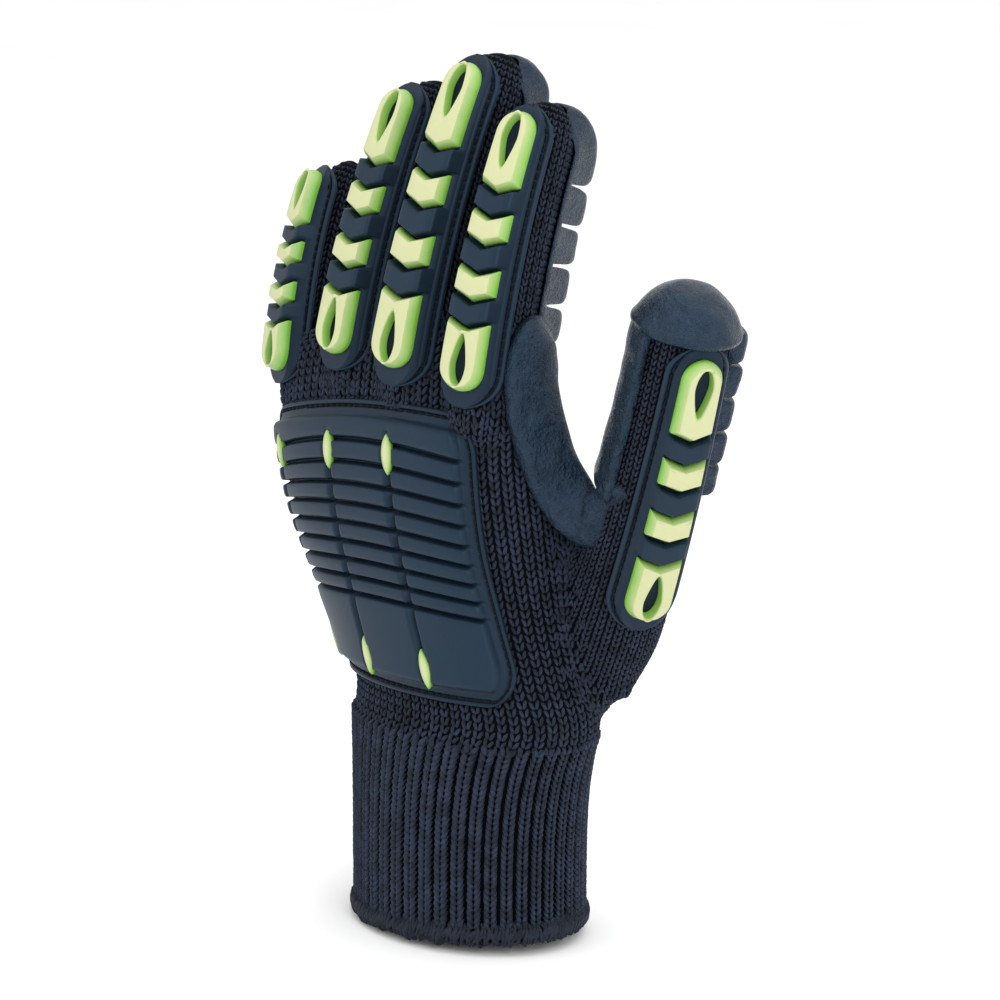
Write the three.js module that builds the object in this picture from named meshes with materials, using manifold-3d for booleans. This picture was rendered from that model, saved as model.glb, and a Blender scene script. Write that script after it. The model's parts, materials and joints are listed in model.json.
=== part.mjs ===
// Anti-vibration work glove for the left hand, with the shape that it has when it is worn.
// A heavy knitted shell with a ribbed cuff carries rubber strips on the back of the five
// digits, a grooved plate on the back of the hand, and coated foam blocks on the palm side.
// Frame: +Z runs from the cuff's mouth to the fingertips, the back of the hand faces -Y and
// the thumb is on the +X side. The origin is the centre of the cuff's mouth.
// Sizes are millimetres and angles are degrees.
import * as THREE from "three";
import { mergeVertices } from "three/addons/utils/BufferGeometryUtils.js";
import Module from "manifold-3d";

// Knitted shell
const KNIT_WALL = 2.2;
const CUFF_LENGTH = 57;
const CUFF_WIDTH = 76;
const CUFF_DEPTH = 57;
const RIB_COUNT = 44;
const CUFF_FLARE = 4;
const CUFF_FLARE_FOOT = 0.72;
const RIB_RELIEF = 0.7;
const HEM_HEIGHT = 5;
const HEM_THICKNESS = 4.2;
const HEM_SLOPE = 0.04;
const HAND_LENGTH = 118;
const HAND_WIDTH = 98;
const HAND_DEPTH = 35;
const KNUCKLE_DROP = 12;
const FINGER_LENGTH = 101;
const FINGER_WIDTH = 22;
const FINGER_DEPTH = 24;
const TIP_ROUNDING = 14;
const ROOT_LENGTH = 17;
const THUMB_FORK = 0.47;

// Rubber strips on the digits
const STRIP_WIDTH = 22;
const FLANGE_THICKNESS = 1.3;
const BLOCK_WIDTH = 14;
const BLOCK_HEIGHT = 5.2;
const DARK_BLOCK_HEIGHT = 4.6;
const CHEVRON_DEPTH = 2.4;
const BEVEL = 1.7;
const EYE_WIDTH = 4.4;
const EYE_LENGTH = 12;
const STRIP_FOOT = 5;
const STRIP_TAIL = 10.5;
const THUMB_STRIP_FOOT = 30;
const THUMB_STRIP_TAIL = 17;
const FLOOR_HEIGHT = FLANGE_THICKNESS + 0.2;
const STRIP_UNDERSIDE = 30;

// Grooved plate on the back of the hand
const PLATE_LENGTH = 82;
const PLATE_WIDTH = 95;
const PLATE_THICKNESS = 4.2;
const PLATE_FLANGE = 5;
const GROOVE_WIDTH = 1.3;
const GROOVE_DEPTH = 2.4;
const CROSS_GROOVES = 9;
const LENS_LENGTH = 11;
const LENS_WIDTH = 3.6;
const PLATE_CORNER = 12;
const PLATE_LIFT = 1.3;

// Coated foam on the palm side
const COATING = 1.2;
const PAD_HEIGHT = 9.5;
const PAD_WIDTH = 20;
const PAD_PITCH = 11;
const PAD_GROOVE = 2.2;
const PALM_PAD_HEIGHT = 8;
const CROTCH_PATCH_WIDTH = 17;
const CROTCH_PATCH_THICKNESS = 3.6;
const SKIRT_ANGLE = 76;
const PAD_LIFT = 1.6;
const TIP_BLOCK = 0.24;
const FINGER_PAD_FOOT = 28;
const INDEX_PAD_FOOT = 10;
const FINGER_PAD_TAIL = 4;
const THUMB_PAD_FOOT = 60;
const THUMB_PAD_TAIL = 17;
const THUMB_PAD_SHARE = 0.68;
const THUMB_WRAP = { band: -110, bandEnd: -20, outer: 100 };
const CAP_THICKNESS = 3.2;
const PALM_BLOCKS = 8;
const CAP_REACH = 0.62;

// Space between pieces that touch on the real glove
const GAP = 0.35;

// Sides and steps of the faceted solids, and how far one is run into another
const HAND_SIDES = 18;
const LINING_SIDES = 12;
const DIGIT_SIDES = 12;
const INNER_SIDES = 7;
const EYE_SIDES = 6;
const LENS_SIDES = 6;
const TUBE_STEP = 22;
const OVERRUN = 4;
const LIFT = 0.15;

const GLOVE_TOP = CUFF_LENGTH + HAND_LENGTH;
const rad = THREE.MathUtils.degToRad;
const wasm = await Module();
wasm.setup();

// Cross-sections of the hand. rise is a share of the hand's length from the wrist, side a
// share of its width and back a share of its length. width is a share of its width, depth and
// palm are shares of its depth on the back and in the palm. square is the exponent of the
// rounded outline: 2 is an ellipse. arch is the share of the knuckles' drop towards the
// little finger that the section has.
const HAND_SECTIONS = [
  { rise: 0, side: 0.022, back: 0, width: 0.86, depth: 1.57, palm: 1.57, square: 2, arch: 0 },
  { rise: 0.06, side: 0.038, back: 0, width: 0.87, depth: 1.49, palm: 1.46, square: 2.05, arch: 0 },
  { rise: 0.17, side: 0.012, back: -0.008, width: 0.85, depth: 1.4, palm: 1.26, square: 2.1, arch: 0.05 },
  { rise: 0.33, side: -0.05, back: -0.02, width: 0.9, depth: 1.34, palm: 1.09, square: 2.2, arch: 0.15 },
  { rise: 0.52, side: -0.098, back: -0.042, width: 0.985, depth: 1.31, palm: 0.92, square: 2.3, arch: 0.4 },
  { rise: 0.7, side: -0.125, back: -0.055, width: 1.02, depth: 1.24, palm: 0.72, square: 2.4, arch: 0.8 },
  { rise: 0.85, side: -0.143, back: -0.06, width: 1.05, depth: 1.04, palm: 0.62, square: 2.6, arch: 1 },
  { rise: 0.95, side: -0.15, back: -0.085, width: 1.04, depth: 0.68, palm: 0.45, square: 2.8, arch: 1 },
  { rise: 1, side: -0.13, back: -0.1, width: 0.95, depth: 0.46, palm: 0.4, square: 3, arch: 1 },
];

// The digits. across is a share of the hand's width, rise and back shares of its length,
// length, width and taper shares of the middle finger's length and width, flare the exponent
// of the taper. lean, front, roll and curl are angles; roll turns the back of the digit.
const DIGITS = [
  { name: "index", across: 0.232, rise: 0.792, back: -0.131, length: 0.901, width: 1, taper: 0.86,
    flare: 1, lean: 4.7, front: 3.8, roll: 11.6, curl: 22.2 },
  { name: "middle", across: -0.022, rise: 0.813, back: -0.148, length: 1, width: 1, taper: 0.86,
    flare: 1, lean: 5.7, front: 4.7, roll: 5.2, curl: 21.3 },
  { name: "ring", across: -0.279, rise: 0.813, back: -0.131, length: 0.9, width: 0.96, taper: 0.84,
    flare: 1, lean: 3.7, front: 6.3, roll: -1.7, curl: 20 },
  { name: "little", across: -0.54, rise: 0.742, back: -0.1, length: 0.714, width: 0.88, taper: 0.86,
    flare: 1, lean: -6.4, front: 7.1, roll: -15, curl: 20.4 },
  { name: "thumb", across: 0.343, rise: 0.168, back: 0.141, length: 1.221, width: 1.46, taper: 0.78,
    flare: 1.8, lean: 30.7, front: -9.1, roll: 68, curl: 18 },
];

// Where a strip's parts end, as shares of its length from the knuckle end.
const STRIP_MARKS = { heel: 0.05, heelTop: 0.285, tipFoot: 0.72, tipTop: 0.965 };
const CHEVRONS = [
  { foot: 0.367, top: 0.459 },
  { foot: 0.547, top: 0.64 },
];

// Smooth value of one column of a table at x, through its rows.
function tableValue(rows, by, column, x) {
  const last = rows.length - 1;
  let i = 0;
  while (i < last - 1 && x > rows[i + 1][by]) i++;
  const slope = (k) => {
    const a = rows[Math.max(0, k - 1)];
    const b = rows[Math.min(last, k + 1)];
    return (b[column] - a[column]) / (b[by] - a[by]);
  };
  const span = rows[i + 1][by] - rows[i][by];
  const t = THREE.MathUtils.clamp((x - rows[i][by]) / span, 0, 1);
  const [t2, t3] = [t * t, t * t * t];
  return (
    (2 * t3 - 3 * t2 + 1) * rows[i][column] +
    (t3 - 2 * t2 + t) * span * slope(i) +
    (3 * t2 - 2 * t3) * rows[i + 1][column] +
    (t3 - t2) * span * slope(i + 1)
  );
}

// Triangles that close a ring, zipped up from its first and last points.
function ringFaces(ring) {
  const faces = [];
  let [i, j] = [0, ring.length - 1];
  while (j - i > 1)
    if (ring[i + 1].distanceTo(ring[j]) <= ring[i].distanceTo(ring[j - 1])) {
      faces.push([i, i + 1, j]);
      i += 1;
    } else {
      faces.push([i, j - 1, j]);
      j -= 1;
    }
  return faces;
}

// A closed surface through rings of equally many points.
function skinGeometry(rings) {
  const count = rings[0].length;
  const positions = rings.flat().flatMap((p) => [p.x, p.y, p.z]);
  const faces = [];
  for (let i = 0; i + 1 < rings.length; i++)
    for (let j = 0; j < count; j++) {
      const [a, b] = [i * count + j, i * count + ((j + 1) % count)];
      faces.push(a, b, b + count, a, b + count, a + count);
    }
  const end = (rings.length - 1) * count;
  for (const [a, b, c] of ringFaces(rings[0])) faces.push(c, b, a);
  for (const [a, b, c] of ringFaces(rings.at(-1))) faces.push(end + a, end + b, end + c);
  return outwardGeometry(positions, faces);
}

// An indexed geometry whose faces point out of the body.
function outwardGeometry(positions, faces) {
  const at = (k) => new THREE.Vector3(...positions.slice(3 * k, 3 * k + 3));
  let volume = 0;
  for (let i = 0; i < faces.length; i += 3)
    volume += at(faces[i]).dot(at(faces[i + 1]).cross(at(faces[i + 2])));
  if (volume < 0)
    for (let i = 0; i < faces.length; i += 3)
      [faces[i], faces[i + 1]] = [faces[i + 1], faces[i]];
  return new THREE.BufferGeometry()
    .setAttribute("position", new THREE.Float32BufferAttribute(positions, 3))
    .setIndex(faces);
}

function solidOf(geometry) {
  const merged = mergeVertices(geometry, 1e-4);
  return new wasm.Manifold(
    new wasm.Mesh({
      numProp: 3,
      vertProperties: merged.attributes.position.array,
      triVerts: new Uint32Array(merged.index.array),
    }),
  );
}

function geometryOf(solid) {
  const mesh = solid.getMesh();
  return new THREE.BufferGeometry()
    .setAttribute("position", new THREE.BufferAttribute(mesh.vertProperties, 3))
    .setIndex(new THREE.BufferAttribute(mesh.triVerts, 1));
}

const joined = (solids) => solids.reduce((all, one) => all.add(one));

// The largest body of a solid, without the slivers that a cut can leave.
function mainBody(solid) {
  return solid.decompose().reduce((a, b) => (a.volume() > b.volume() ? a : b));
}

function circle(sides) {
  return Array.from({ length: sides }, (_, k) => {
    const angle = (2 * Math.PI * k) / sides;
    return new THREE.Vector2(Math.sin(angle), Math.cos(angle));
  });
}

// The hand's section at height z: its middle, half sizes, squareness and knuckle arch.
function handSection(z) {
  const rise = THREE.MathUtils.clamp((z - CUFF_LENGTH) / HAND_LENGTH, 0, 1);
  const value = (column) => tableValue(HAND_SECTIONS, "rise", column, rise);
  return {
    x: value("side") * HAND_WIDTH,
    y: value("back") * HAND_LENGTH,
    halfWidth: (value("width") * HAND_WIDTH) / 2,
    backDepth: (value("depth") * HAND_DEPTH) / 2,
    palmDepth: (value("palm") * HAND_DEPTH) / 2,
    power: 2 / value("square"),
    arch: value("arch") * KNUCKLE_DROP,
  };
}

// A point of the hand's outside. turn is 0 on the back of the hand, a quarter turn on the
// thumb side and half a turn in the palm.
function handPoint(z, turn, grow = 0) {
  const s = handSection(z);
  const [sine, cosine] = [Math.sin(turn), Math.cos(turn)];
  const x = Math.sign(sine) * Math.abs(sine) ** s.power;
  const y = -Math.sign(cosine) * Math.abs(cosine) ** s.power;
  return new THREE.Vector3(
    s.x + x * (s.halfWidth + grow),
    s.y + y * ((y < 0 ? s.backDepth : s.palmDepth) + grow),
    z - s.arch * x * (0.55 * x - 0.45),
  );
}

const HAND_RISES = [0, 0.08, 0.2, 0.34, 0.5, 0.66, 0.8, 0.91, 1];
const LINING_RISES = [0, 0.25, 0.55, 0.85, 1];

// The hand's bag, grown outwards by grow, from below the wrist to the web of the fingers.
function handSolid(grow, sides = HAND_SIDES, rises = HAND_RISES) {
  const rings = rises.map((rise) => {
    const z = CUFF_LENGTH - OVERRUN + (HAND_LENGTH + OVERRUN) * rise;
    return circle(sides).map((_, k) => {
      const point = handPoint(z, (2 * Math.PI * (k + 1)) / sides - Math.PI / 2, grow);
      point.z += grow * rise ** 4;
      return point;
    });
  });
  return solidOf(skinGeometry(rings));
}

// The sheet of the hand between two turns, as a length across it from the middle of the
// back or of the palm, so that a plate keeps its width as the section changes.
const ACROSS_STEPS = 90;
function handTurnAt(z, across, middle) {
  const step = Math.PI / ACROSS_STEPS;
  let [turn, left, here] = [middle, Math.abs(across), handPoint(z, middle)];
  const way = Math.sign(across) * (middle > 1 ? -1 : 1);
  for (let k = 0; k < ACROSS_STEPS && left > 0; k++) {
    const next = handPoint(z, turn + way * step);
    const length = next.distanceTo(here);
    turn += way * step * Math.min(1, left / length);
    left -= length;
    here = next;
  }
  return turn;
}

// A point over the hand: z up it, across it from middle, and height over its surface.
function overHand(z, across, height, middle) {
  const turn = handTurnAt(z, across, middle);
  const point = handPoint(z, turn);
  const around = handPoint(z, turn + 0.02).sub(handPoint(z, turn - 0.02));
  const along = handPoint(z + 1, turn).sub(handPoint(z - 1, turn));
  const normal = around.cross(along).normalize();
  const s = handSection(z);
  if (normal.dot(new THREE.Vector3(point.x - s.x, point.y - s.y, 0)) < 0) normal.negate();
  return point.addScaledVector(normal, height);
}

// A digit as a bent tube: a centre line of even bend, and a radius that tapers and closes.
class Digit {
  constructor(row) {
    Object.assign(this, row);
    this.reach = row.length * FINGER_LENGTH;
    this.base = new THREE.Vector3(
      row.across * HAND_WIDTH,
      row.back * HAND_LENGTH,
      CUFF_LENGTH + row.rise * HAND_LENGTH,
    );
    this.start = new THREE.Vector3(
      Math.tan(rad(row.lean)),
      Math.tan(rad(row.front)),
      1,
    ).normalize();
    this.rear = new THREE.Vector3(0, -1, 0)
      .addScaledVector(this.start, this.start.y)
      .normalize()
      .applyAxisAngle(this.start, rad(row.roll));
    this.sideways = this.start.clone().cross(this.rear);
    this.bend = rad(row.curl) / this.reach;
    this.lines = { back: this.arcTable(1), palm: this.arcTable(-1) };
  }

  // Centre, direction and back of the digit at s along its centre line.
  frame(s) {
    const turn = this.bend * s;
    const [sine, cosine] = [Math.sin(turn), Math.cos(turn)];
    const centre = this.base
      .clone()
      .addScaledVector(this.start, sine / this.bend)
      .addScaledVector(this.rear, -(1 - cosine) / this.bend);
    const along = this.start.clone().multiplyScalar(cosine).addScaledVector(this.rear, -sine);
    const rear = this.rear.clone().multiplyScalar(cosine).addScaledVector(this.start, sine);
    return { centre, along, rear };
  }

  // Radius before the tip closes, sideways.
  plainRadius(s) {
    const share = Math.max(0, 1 - s / this.reach) ** this.flare;
    return (FINGER_WIDTH / 2) * this.width * (this.taper + (1 - this.taper) * share);
  }

  // Share of the plain radius. The thumb's root grows out of the wrist below its start.
  closing(s, grow = 0) {
    if (s < 0) return Math.exp(s / ROOT_LENGTH);
    const past = (s - (this.reach - TIP_ROUNDING)) / (TIP_ROUNDING + grow);
    return past <= 0 ? 1 : Math.sqrt(Math.max(0, 1 - past * past));
  }

  // A point of the digit's outside. turn is 0 on its back.
  point(s, turn, grow = 0) {
    const { centre, rear } = this.frame(s);
    const [half, close] = [this.plainRadius(s), this.closing(s, grow)];
    return centre
      .addScaledVector(this.sideways, Math.sin(turn) * (half + grow) * close)
      .addScaledVector(rear, Math.cos(turn) * ((half * FINGER_DEPTH) / FINGER_WIDTH + grow) * close);
  }

  // Centre line places against the length along the digit's back or palm line.
  arcTable(side) {
    const [steps, table] = [240, [{ s: 0, q: 0 }]];
    const turn = side > 0 ? 0 : Math.PI;
    let here = this.point(0, turn);
    for (let k = 1; k <= steps; k++) {
      const s = (this.reach * k) / steps;
      const next = this.point(s, turn);
      table.push({ s, q: table[k - 1].q + next.distanceTo(here) });
      here = next;
    }
    return table;
  }

  placeAt(line, q) {
    const table = this.lines[line];
    let k = 1;
    while (k < table.length - 1 && table[k].q < q) k++;
    const [a, b] = [table[k - 1], table[k]];
    return a.s + ((b.s - a.s) * (q - a.q)) / (b.q - a.q);
  }

  // Point, normal and sideways direction on the digit's back or palm line, q along it.
  lineFrame(line, q) {
    const s = this.placeAt(line, q);
    const turn = line === "back" ? 0 : Math.PI;
    const step = 0.3;
    const ahead = this.point(Math.min(s + step, this.reach), turn);
    const along = ahead.sub(this.point(s - step, turn)).normalize();
    const { rear } = this.frame(s);
    const up = rear.clone().multiplyScalar(line === "back" ? 1 : -1);
    const normal = up.addScaledVector(along, -up.dot(along)).normalize();
    return { s, point: this.point(s, turn), normal, side: this.sideways };
  }

  // A point that wraps round the digit: across it from its line, at a height over it.
  wrapped(line, q, across, height) {
    const { s, point, normal, side } = this.lineFrame(line, q);
    const radius = this.plainRadius(s) * Math.max(0.35, this.closing(s));
    const turn = across / radius;
    return point
      .addScaledVector(side, Math.sin(turn) * (radius + height))
      .addScaledVector(normal, Math.cos(turn) * (radius + height) - radius);
  }

  // A point of a flat section over the digit: across it, and a height over its line.
  flat(line, q, across, height) {
    const { point, normal, side } = this.lineFrame(line, q);
    return point.addScaledVector(side, across).addScaledVector(normal, height);
  }

  // The digit's tube from centre line place s0 to s1, or to its closed tip.
  tube(sides, grow, s0, s1) {
    const shape = circle(sides);
    const closes = s1 === undefined;
    const straight = closes ? this.reach - TIP_ROUNDING : s1;
    const steps = Math.max(1, Math.round((straight - s0) / TUBE_STEP));
    const places =
      s0 < straight
        ? Array.from({ length: steps + 1 }, (_, k) => s0 + ((straight - s0) * k) / steps)
        : [s0];
    if (s0 < -ROOT_LENGTH) places.splice(1, 0, 0.7 * s0, 0.4 * s0, 0.15 * s0);
    if (closes)
      for (const angle of [32, 58, 78])
        places.push(straight + (TIP_ROUNDING + grow) * Math.sin(rad(angle)));
    const rings = places.map((s) => shape.map((_, k) => this.point(s, (2 * Math.PI * k) / sides, grow)));
    return solidOf(skinGeometry(rings));
  }
}

const digits = Object.fromEntries(DIGITS.map((row) => [row.name, new Digit(row)]));
const fingers = ["index", "middle", "ring", "little"].map((name) => digits[name]);

const palette = {
  knit: { color: 0x1b2230, roughness: 0.95 },
  rubber: { color: 0x33424e, roughness: 0.6 },
  lime: { color: 0xc6e86a, roughness: 0.5 },
  coating: { color: 0x27313d, roughness: 0.45 },
};
const glove = new THREE.Group();

function place(name, material, solid) {
  const mesh = new THREE.Mesh(
    geometryOf(mainBody(solid)),
    new THREE.MeshStandardMaterial({ ...palette[material], metalness: 0 }),
  );
  mesh.name = name;
  glove.add(mesh);
}

// Knitted shell: the hand's bag, one stall for each digit, the ribbed cuff and its hem
const WEB_HEIGHT = CUFF_LENGTH + 0.31 * HAND_LENGTH;

// Where a stall starts: a finger's inside the hand's bag, the thumb's beyond its fork.
const stallFoot = (digit) => (digit === digits.thumb ? THUMB_FORK * digit.reach : OVERRUN);
// A knitted web fills the fork between the thumb and the hand.
function thumbWeb(grow) {
  const thumb = digits.thumb;
  const from = new THREE.Vector3(0.24 * HAND_WIDTH, -0.03 * HAND_LENGTH, WEB_HEIGHT);
  const to = thumb.frame(0.2 * thumb.reach).centre;
  const way = to.clone().sub(from);
  const length = way.length();
  way.normalize();
  const upward = new THREE.Vector3(0, 0, 1).addScaledVector(way, -way.z).normalize();
  const sideways = upward.clone().cross(way);
  const high = 0.19 * HAND_LENGTH + grow;
  const wide = 0.26 * HAND_DEPTH + grow;
  const rings = [0, 0.5, 1].map((share) =>
    circle(8).map((p) =>
      from
        .clone()
        .addScaledVector(way, share * length)
        .addScaledVector(upward, p.y * high)
        .addScaledVector(sideways, p.x * wide),
    ),
  );
  return solidOf(skinGeometry(rings));
}

// The hand's bag with the thumb's root and web, grown outwards by grow.
function bagSolid(grow, foot) {
  const thumb = digits.thumb;
  return joined([
    handSolid(grow),
    thumbWeb(grow),
    thumb.tube(DIGIT_SIDES, grow, -2 * ROOT_LENGTH, stallFoot(thumb) - GAP + grow),
  ]).trimByPlane([0, 0, 1], foot);
}

function handShell() {
  const thumb = digits.thumb;
  const inside = joined([
    handSolid(-KNIT_WALL, LINING_SIDES, LINING_RISES),
    thumbWeb(-KNIT_WALL),
    thumb.tube(INNER_SIDES, -KNIT_WALL, -OVERRUN, stallFoot(thumb) + OVERRUN),
    ...fingers.map((d) => d.tube(INNER_SIDES, -KNIT_WALL, 2 * OVERRUN, 10 * OVERRUN)),
  ]);
  return bagSolid(0, CUFF_LENGTH + GAP).subtract(inside);
}

// What sits on the bag keeps clear of it and of its flat facets between the fingers.
const bag = joined([
  bagSolid(GAP, CUFF_LENGTH),
  handSolid(0),
  handSolid(0).translate([0, -GAP, GAP]),
]);
function fingerStall(digit) {
  const foot = stallFoot(digit);
  return digit
    .tube(DIGIT_SIDES, 0, foot)
    .subtract(digit.tube(INNER_SIDES, -KNIT_WALL, foot - OVERRUN))
    .subtract(bag);
}

place("knit_hand", "knit", handShell());
for (const digit of Object.values(digits))
  place(`knit_stall_${digit.name}`, "knit", fingerStall(digit));

// The cuff's lower edge slopes a little towards the little finger's side.
const hemDrop = (x, z) => HEM_SLOPE * x * (1 - z / CUFF_LENGTH);

function tower(sides, places, radius) {
  const rings = places.map((z) =>
    circle(sides).map((p, k) => {
      const [halfWidth, halfDepth, side] = radius(z, k);
      const x = p.x * halfWidth;
      return new THREE.Vector3(side + x, p.y * halfDepth, z + hemDrop(x, z));
    }),
  );
  return solidOf(skinGeometry(rings));
}

// Half sizes of the cuff at height z, and how far its middle lies to the side. It is straight
// for most of its length and widens into the hand at its top.
function cuffHalves(z, grow) {
  const wrist = handSection(CUFF_LENGTH);
  const share = (z / CUFF_LENGTH) ** CUFF_FLARE;
  return [
    THREE.MathUtils.lerp(CUFF_WIDTH / 2, wrist.halfWidth, share) + grow,
    THREE.MathUtils.lerp(CUFF_DEPTH / 2, wrist.backDepth, share) + grow,
    wrist.x * share,
  ];
}

function ribbedCuff() {
  const foot = HEM_HEIGHT + GAP;
  const flare = CUFF_FLARE_FOOT * CUFF_LENGTH;
  const outside = tower(2 * RIB_COUNT, [foot, flare, CUFF_LENGTH], (z, k) =>
    cuffHalves(z, k % 2 ? -RIB_RELIEF : 0),
  );
  const inside = tower(HAND_SIDES, [foot - OVERRUN, flare, CUFF_LENGTH + OVERRUN], (z) =>
    cuffHalves(z, -KNIT_WALL),
  );
  return outside.subtract(inside);
}

// The hem is an overlocked roll round the cuff's lower edge.
function hem() {
  const profile = [
    [0, 0.25], [0.25, 0], [0.75, 0], [1, 0.25], [1, 0.8], [0.8, 1], [0.1, 1],
  ];
  const inner = -KNIT_WALL + (KNIT_WALL - HEM_THICKNESS) / 3;
  const sides = HAND_SIDES;
  const rings = [];
  for (let k = 0; k <= sides; k++) {
    const angle = (2 * Math.PI * k) / sides;
    rings.push(
      profile.map(([out, up]) => {
        const [halfWidth, halfDepth] = cuffHalves(0, inner + out * HEM_THICKNESS);
        const x = Math.sin(angle) * halfWidth;
        const z = up * HEM_HEIGHT;
        return new THREE.Vector3(x, -Math.cos(angle) * halfDepth, z + hemDrop(x, z));
      }),
    );
  }
  return ringSolid(rings);
}

// A closed ring of equal sections, the last of which repeats the first.
function ringSolid(rings) {
  const count = rings[0].length;
  const positions = rings.slice(0, -1).flat().flatMap((p) => [p.x, p.y, p.z]);
  const total = positions.length / 3;
  const faces = [];
  for (let i = 0; i + 1 < rings.length; i++)
    for (let j = 0; j < count; j++) {
      const [a, b] = [i * count + j, i * count + ((j + 1) % count)];
      const [c, d] = [(b + count) % total, (a + count) % total];
      faces.push(a, b, c, a, c, d);
    }
  return solidOf(outwardGeometry(positions, faces));
}

place("ribbed_cuff", "knit", ribbedCuff());
place("cuff_hem", "knit", hem());

// A ring of points across a digit's line, with a table row for each: how far across, how
// high, how far it lags, and whether it wraps round the digit. A row with a turn lies on it.
function ringAt(digit, line, q, rows) {
  return rows.map(({ across, height, lag = 0, wrap = false, turn }) => {
    if (turn !== undefined) {
      const way = line === "back" ? rad(turn) : Math.PI - rad(turn);
      return digit.point(digit.placeAt(line, q), way, height);
    }
    return wrap
      ? digit.wrapped(line, q - lag, across, height)
      : digit.flat(line, q - lag, across, height);
  });
}

// Underside of a strip or pad between two turns. It keeps clear of the knit's facets.
const underside = (right, left, height) =>
  [right, (right + left) / 2, left].map((turn) => ({ turn, height }));

// Rubber strips: a flanged base with raised dark blocks, and lime blocks seated on it
class Strip {
  constructor(digit, foot, tail) {
    const top = digit.lines.back.at(-1).q - tail;
    Object.assign(this, { digit, foot, top, length: top - foot });
  }

  at(share) {
    return this.foot + share * this.length;
  }

  // Half of a width at q. The strip narrows to the fingertip.
  half(q, full) {
    const share = (q - this.foot) / this.length;
    return (full / 2) * (1 - 0.18 * share) * Math.min(1, this.digit.width);
  }

  // The same with round ends between two places.
  rounded(q, full, from, to) {
    const half = this.half(q, full);
    const end = THREE.MathUtils.clamp(Math.min(q - from, to - q) / half, 0, 1);
    return Math.sqrt(Math.max(0.04, 1 - (1 - end) ** 2)) * half;
  }
}

const strips = DIGITS.map(({ name }) =>
  name === "thumb"
    ? new Strip(digits.thumb, THUMB_STRIP_FOOT, THUMB_STRIP_TAIL)
    : new Strip(digits[name], STRIP_FOOT, STRIP_TAIL),
);

// The base is lofted through stations with a height each. The middle of a block lags behind
// its sides, which gives the blocks their chevron ends.
function stripBase(strip) {
  const { heelTop, tipFoot, tipTop } = STRIP_MARKS;
  const [foot, top] = [strip.at(0), strip.at(1)];
  const slope = 0.9;
  const stations = [0, 0.025, 0.09].map((share) => ({
    q: strip.at(share),
    height: FLOOR_HEIGHT,
    lag: 0,
  }));
  const dark = [
    [heelTop, CHEVRONS[0].foot],
    [CHEVRONS[0].top, CHEVRONS[1].foot],
    [CHEVRONS[1].top, tipFoot],
  ];
  for (const [from, to] of dark) {
    const [a, b] = [strip.at(from) + GAP, strip.at(to) - GAP];
    stations.push(
      { q: a, height: FLOOR_HEIGHT, lag: CHEVRON_DEPTH },
      { q: a + slope, height: DARK_BLOCK_HEIGHT, lag: CHEVRON_DEPTH },
      { q: b - slope, height: DARK_BLOCK_HEIGHT, lag: CHEVRON_DEPTH },
      { q: b, height: FLOOR_HEIGHT, lag: CHEVRON_DEPTH },
    );
  }
  for (const share of [0.4, 0.75])
    stations.push({
      q: strip.at(THREE.MathUtils.lerp(tipFoot, tipTop, share)),
      height: FLOOR_HEIGHT,
      lag: 0,
    });
  stations.push({ q: strip.at(0.98), height: FLOOR_HEIGHT, lag: 0 });
  stations.push({ q: strip.at(1), height: FLOOR_HEIGHT, lag: 0 });
  const rings = stations.map(({ q, height, lag }) => {
    const flange = strip.rounded(q, STRIP_WIDTH, foot, top);
    const block = Math.min(strip.half(q, BLOCK_WIDTH), flange * 0.75);
    const crown = block - (0.3 * BEVEL * height) / BLOCK_HEIGHT;
    return ringAt(strip.digit, "back", q, [
      { across: -flange, height: GAP + LIFT, wrap: true },
      { across: -flange, height: FLANGE_THICKNESS, wrap: true },
      { across: -block, height: FLANGE_THICKNESS, wrap: true },
      { across: -crown, height },
      { across: 0, height, lag },
      { across: crown, height },
      { across: block, height: FLANGE_THICKNESS, wrap: true },
      { across: flange, height: FLANGE_THICKNESS, wrap: true },
      { across: flange, height: GAP + LIFT, wrap: true },
      ...underside(STRIP_UNDERSIDE, -STRIP_UNDERSIDE, GAP + 2 * LIFT),
    ]);
  });
  return solidOf(skinGeometry(rings));
}

// A lime block between two places: its ends are round or chevrons, its top edges bevelled.
function limeBlock(strip, from, to, roundFoot, roundTop) {
  const [foot, top] = [strip.at(from) + GAP, strip.at(to) - GAP];
  const long = roundFoot || roundTop;
  const low = FLOOR_HEIGHT + GAP + (long ? LIFT : 0);
  const shares = long ? [0, 0.13, 0.5, 0.87, 1] : [0, 0.14, 0.86, 1];
  const [start, end] = [roundFoot ? foot : -Infinity, roundTop ? top : Infinity];
  const rings = shares.map((share) => {
    const q = foot + (top - foot) * share;
    const wide = strip.rounded(q, BLOCK_WIDTH, start, end);
    const atEnd = share === 0 || share === 1;
    const high = atEnd ? BLOCK_HEIGHT - BEVEL : BLOCK_HEIGHT;
    const crown = Math.max(0.3 * wide, wide - BEVEL * (atEnd ? 0.35 : 0.7));
    const lag = CHEVRON_DEPTH * (roundFoot && share < 0.5 ? 0 : 1) * (roundTop && share > 0.5 ? 0 : 1);
    return ringAt(strip.digit, "back", q, [
      { across: -wide, height: low },
      { across: -wide, height: BLOCK_HEIGHT - BEVEL },
      { across: -crown, height: high },
      { across: 0, height: high, lag },
      { across: crown, height: high },
      { across: wide, height: BLOCK_HEIGHT - BEVEL },
      { across: wide, height: low },
      { across: 0, height: low, lag },
    ]);
  });
  return solidOf(skinGeometry(rings));
}

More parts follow.
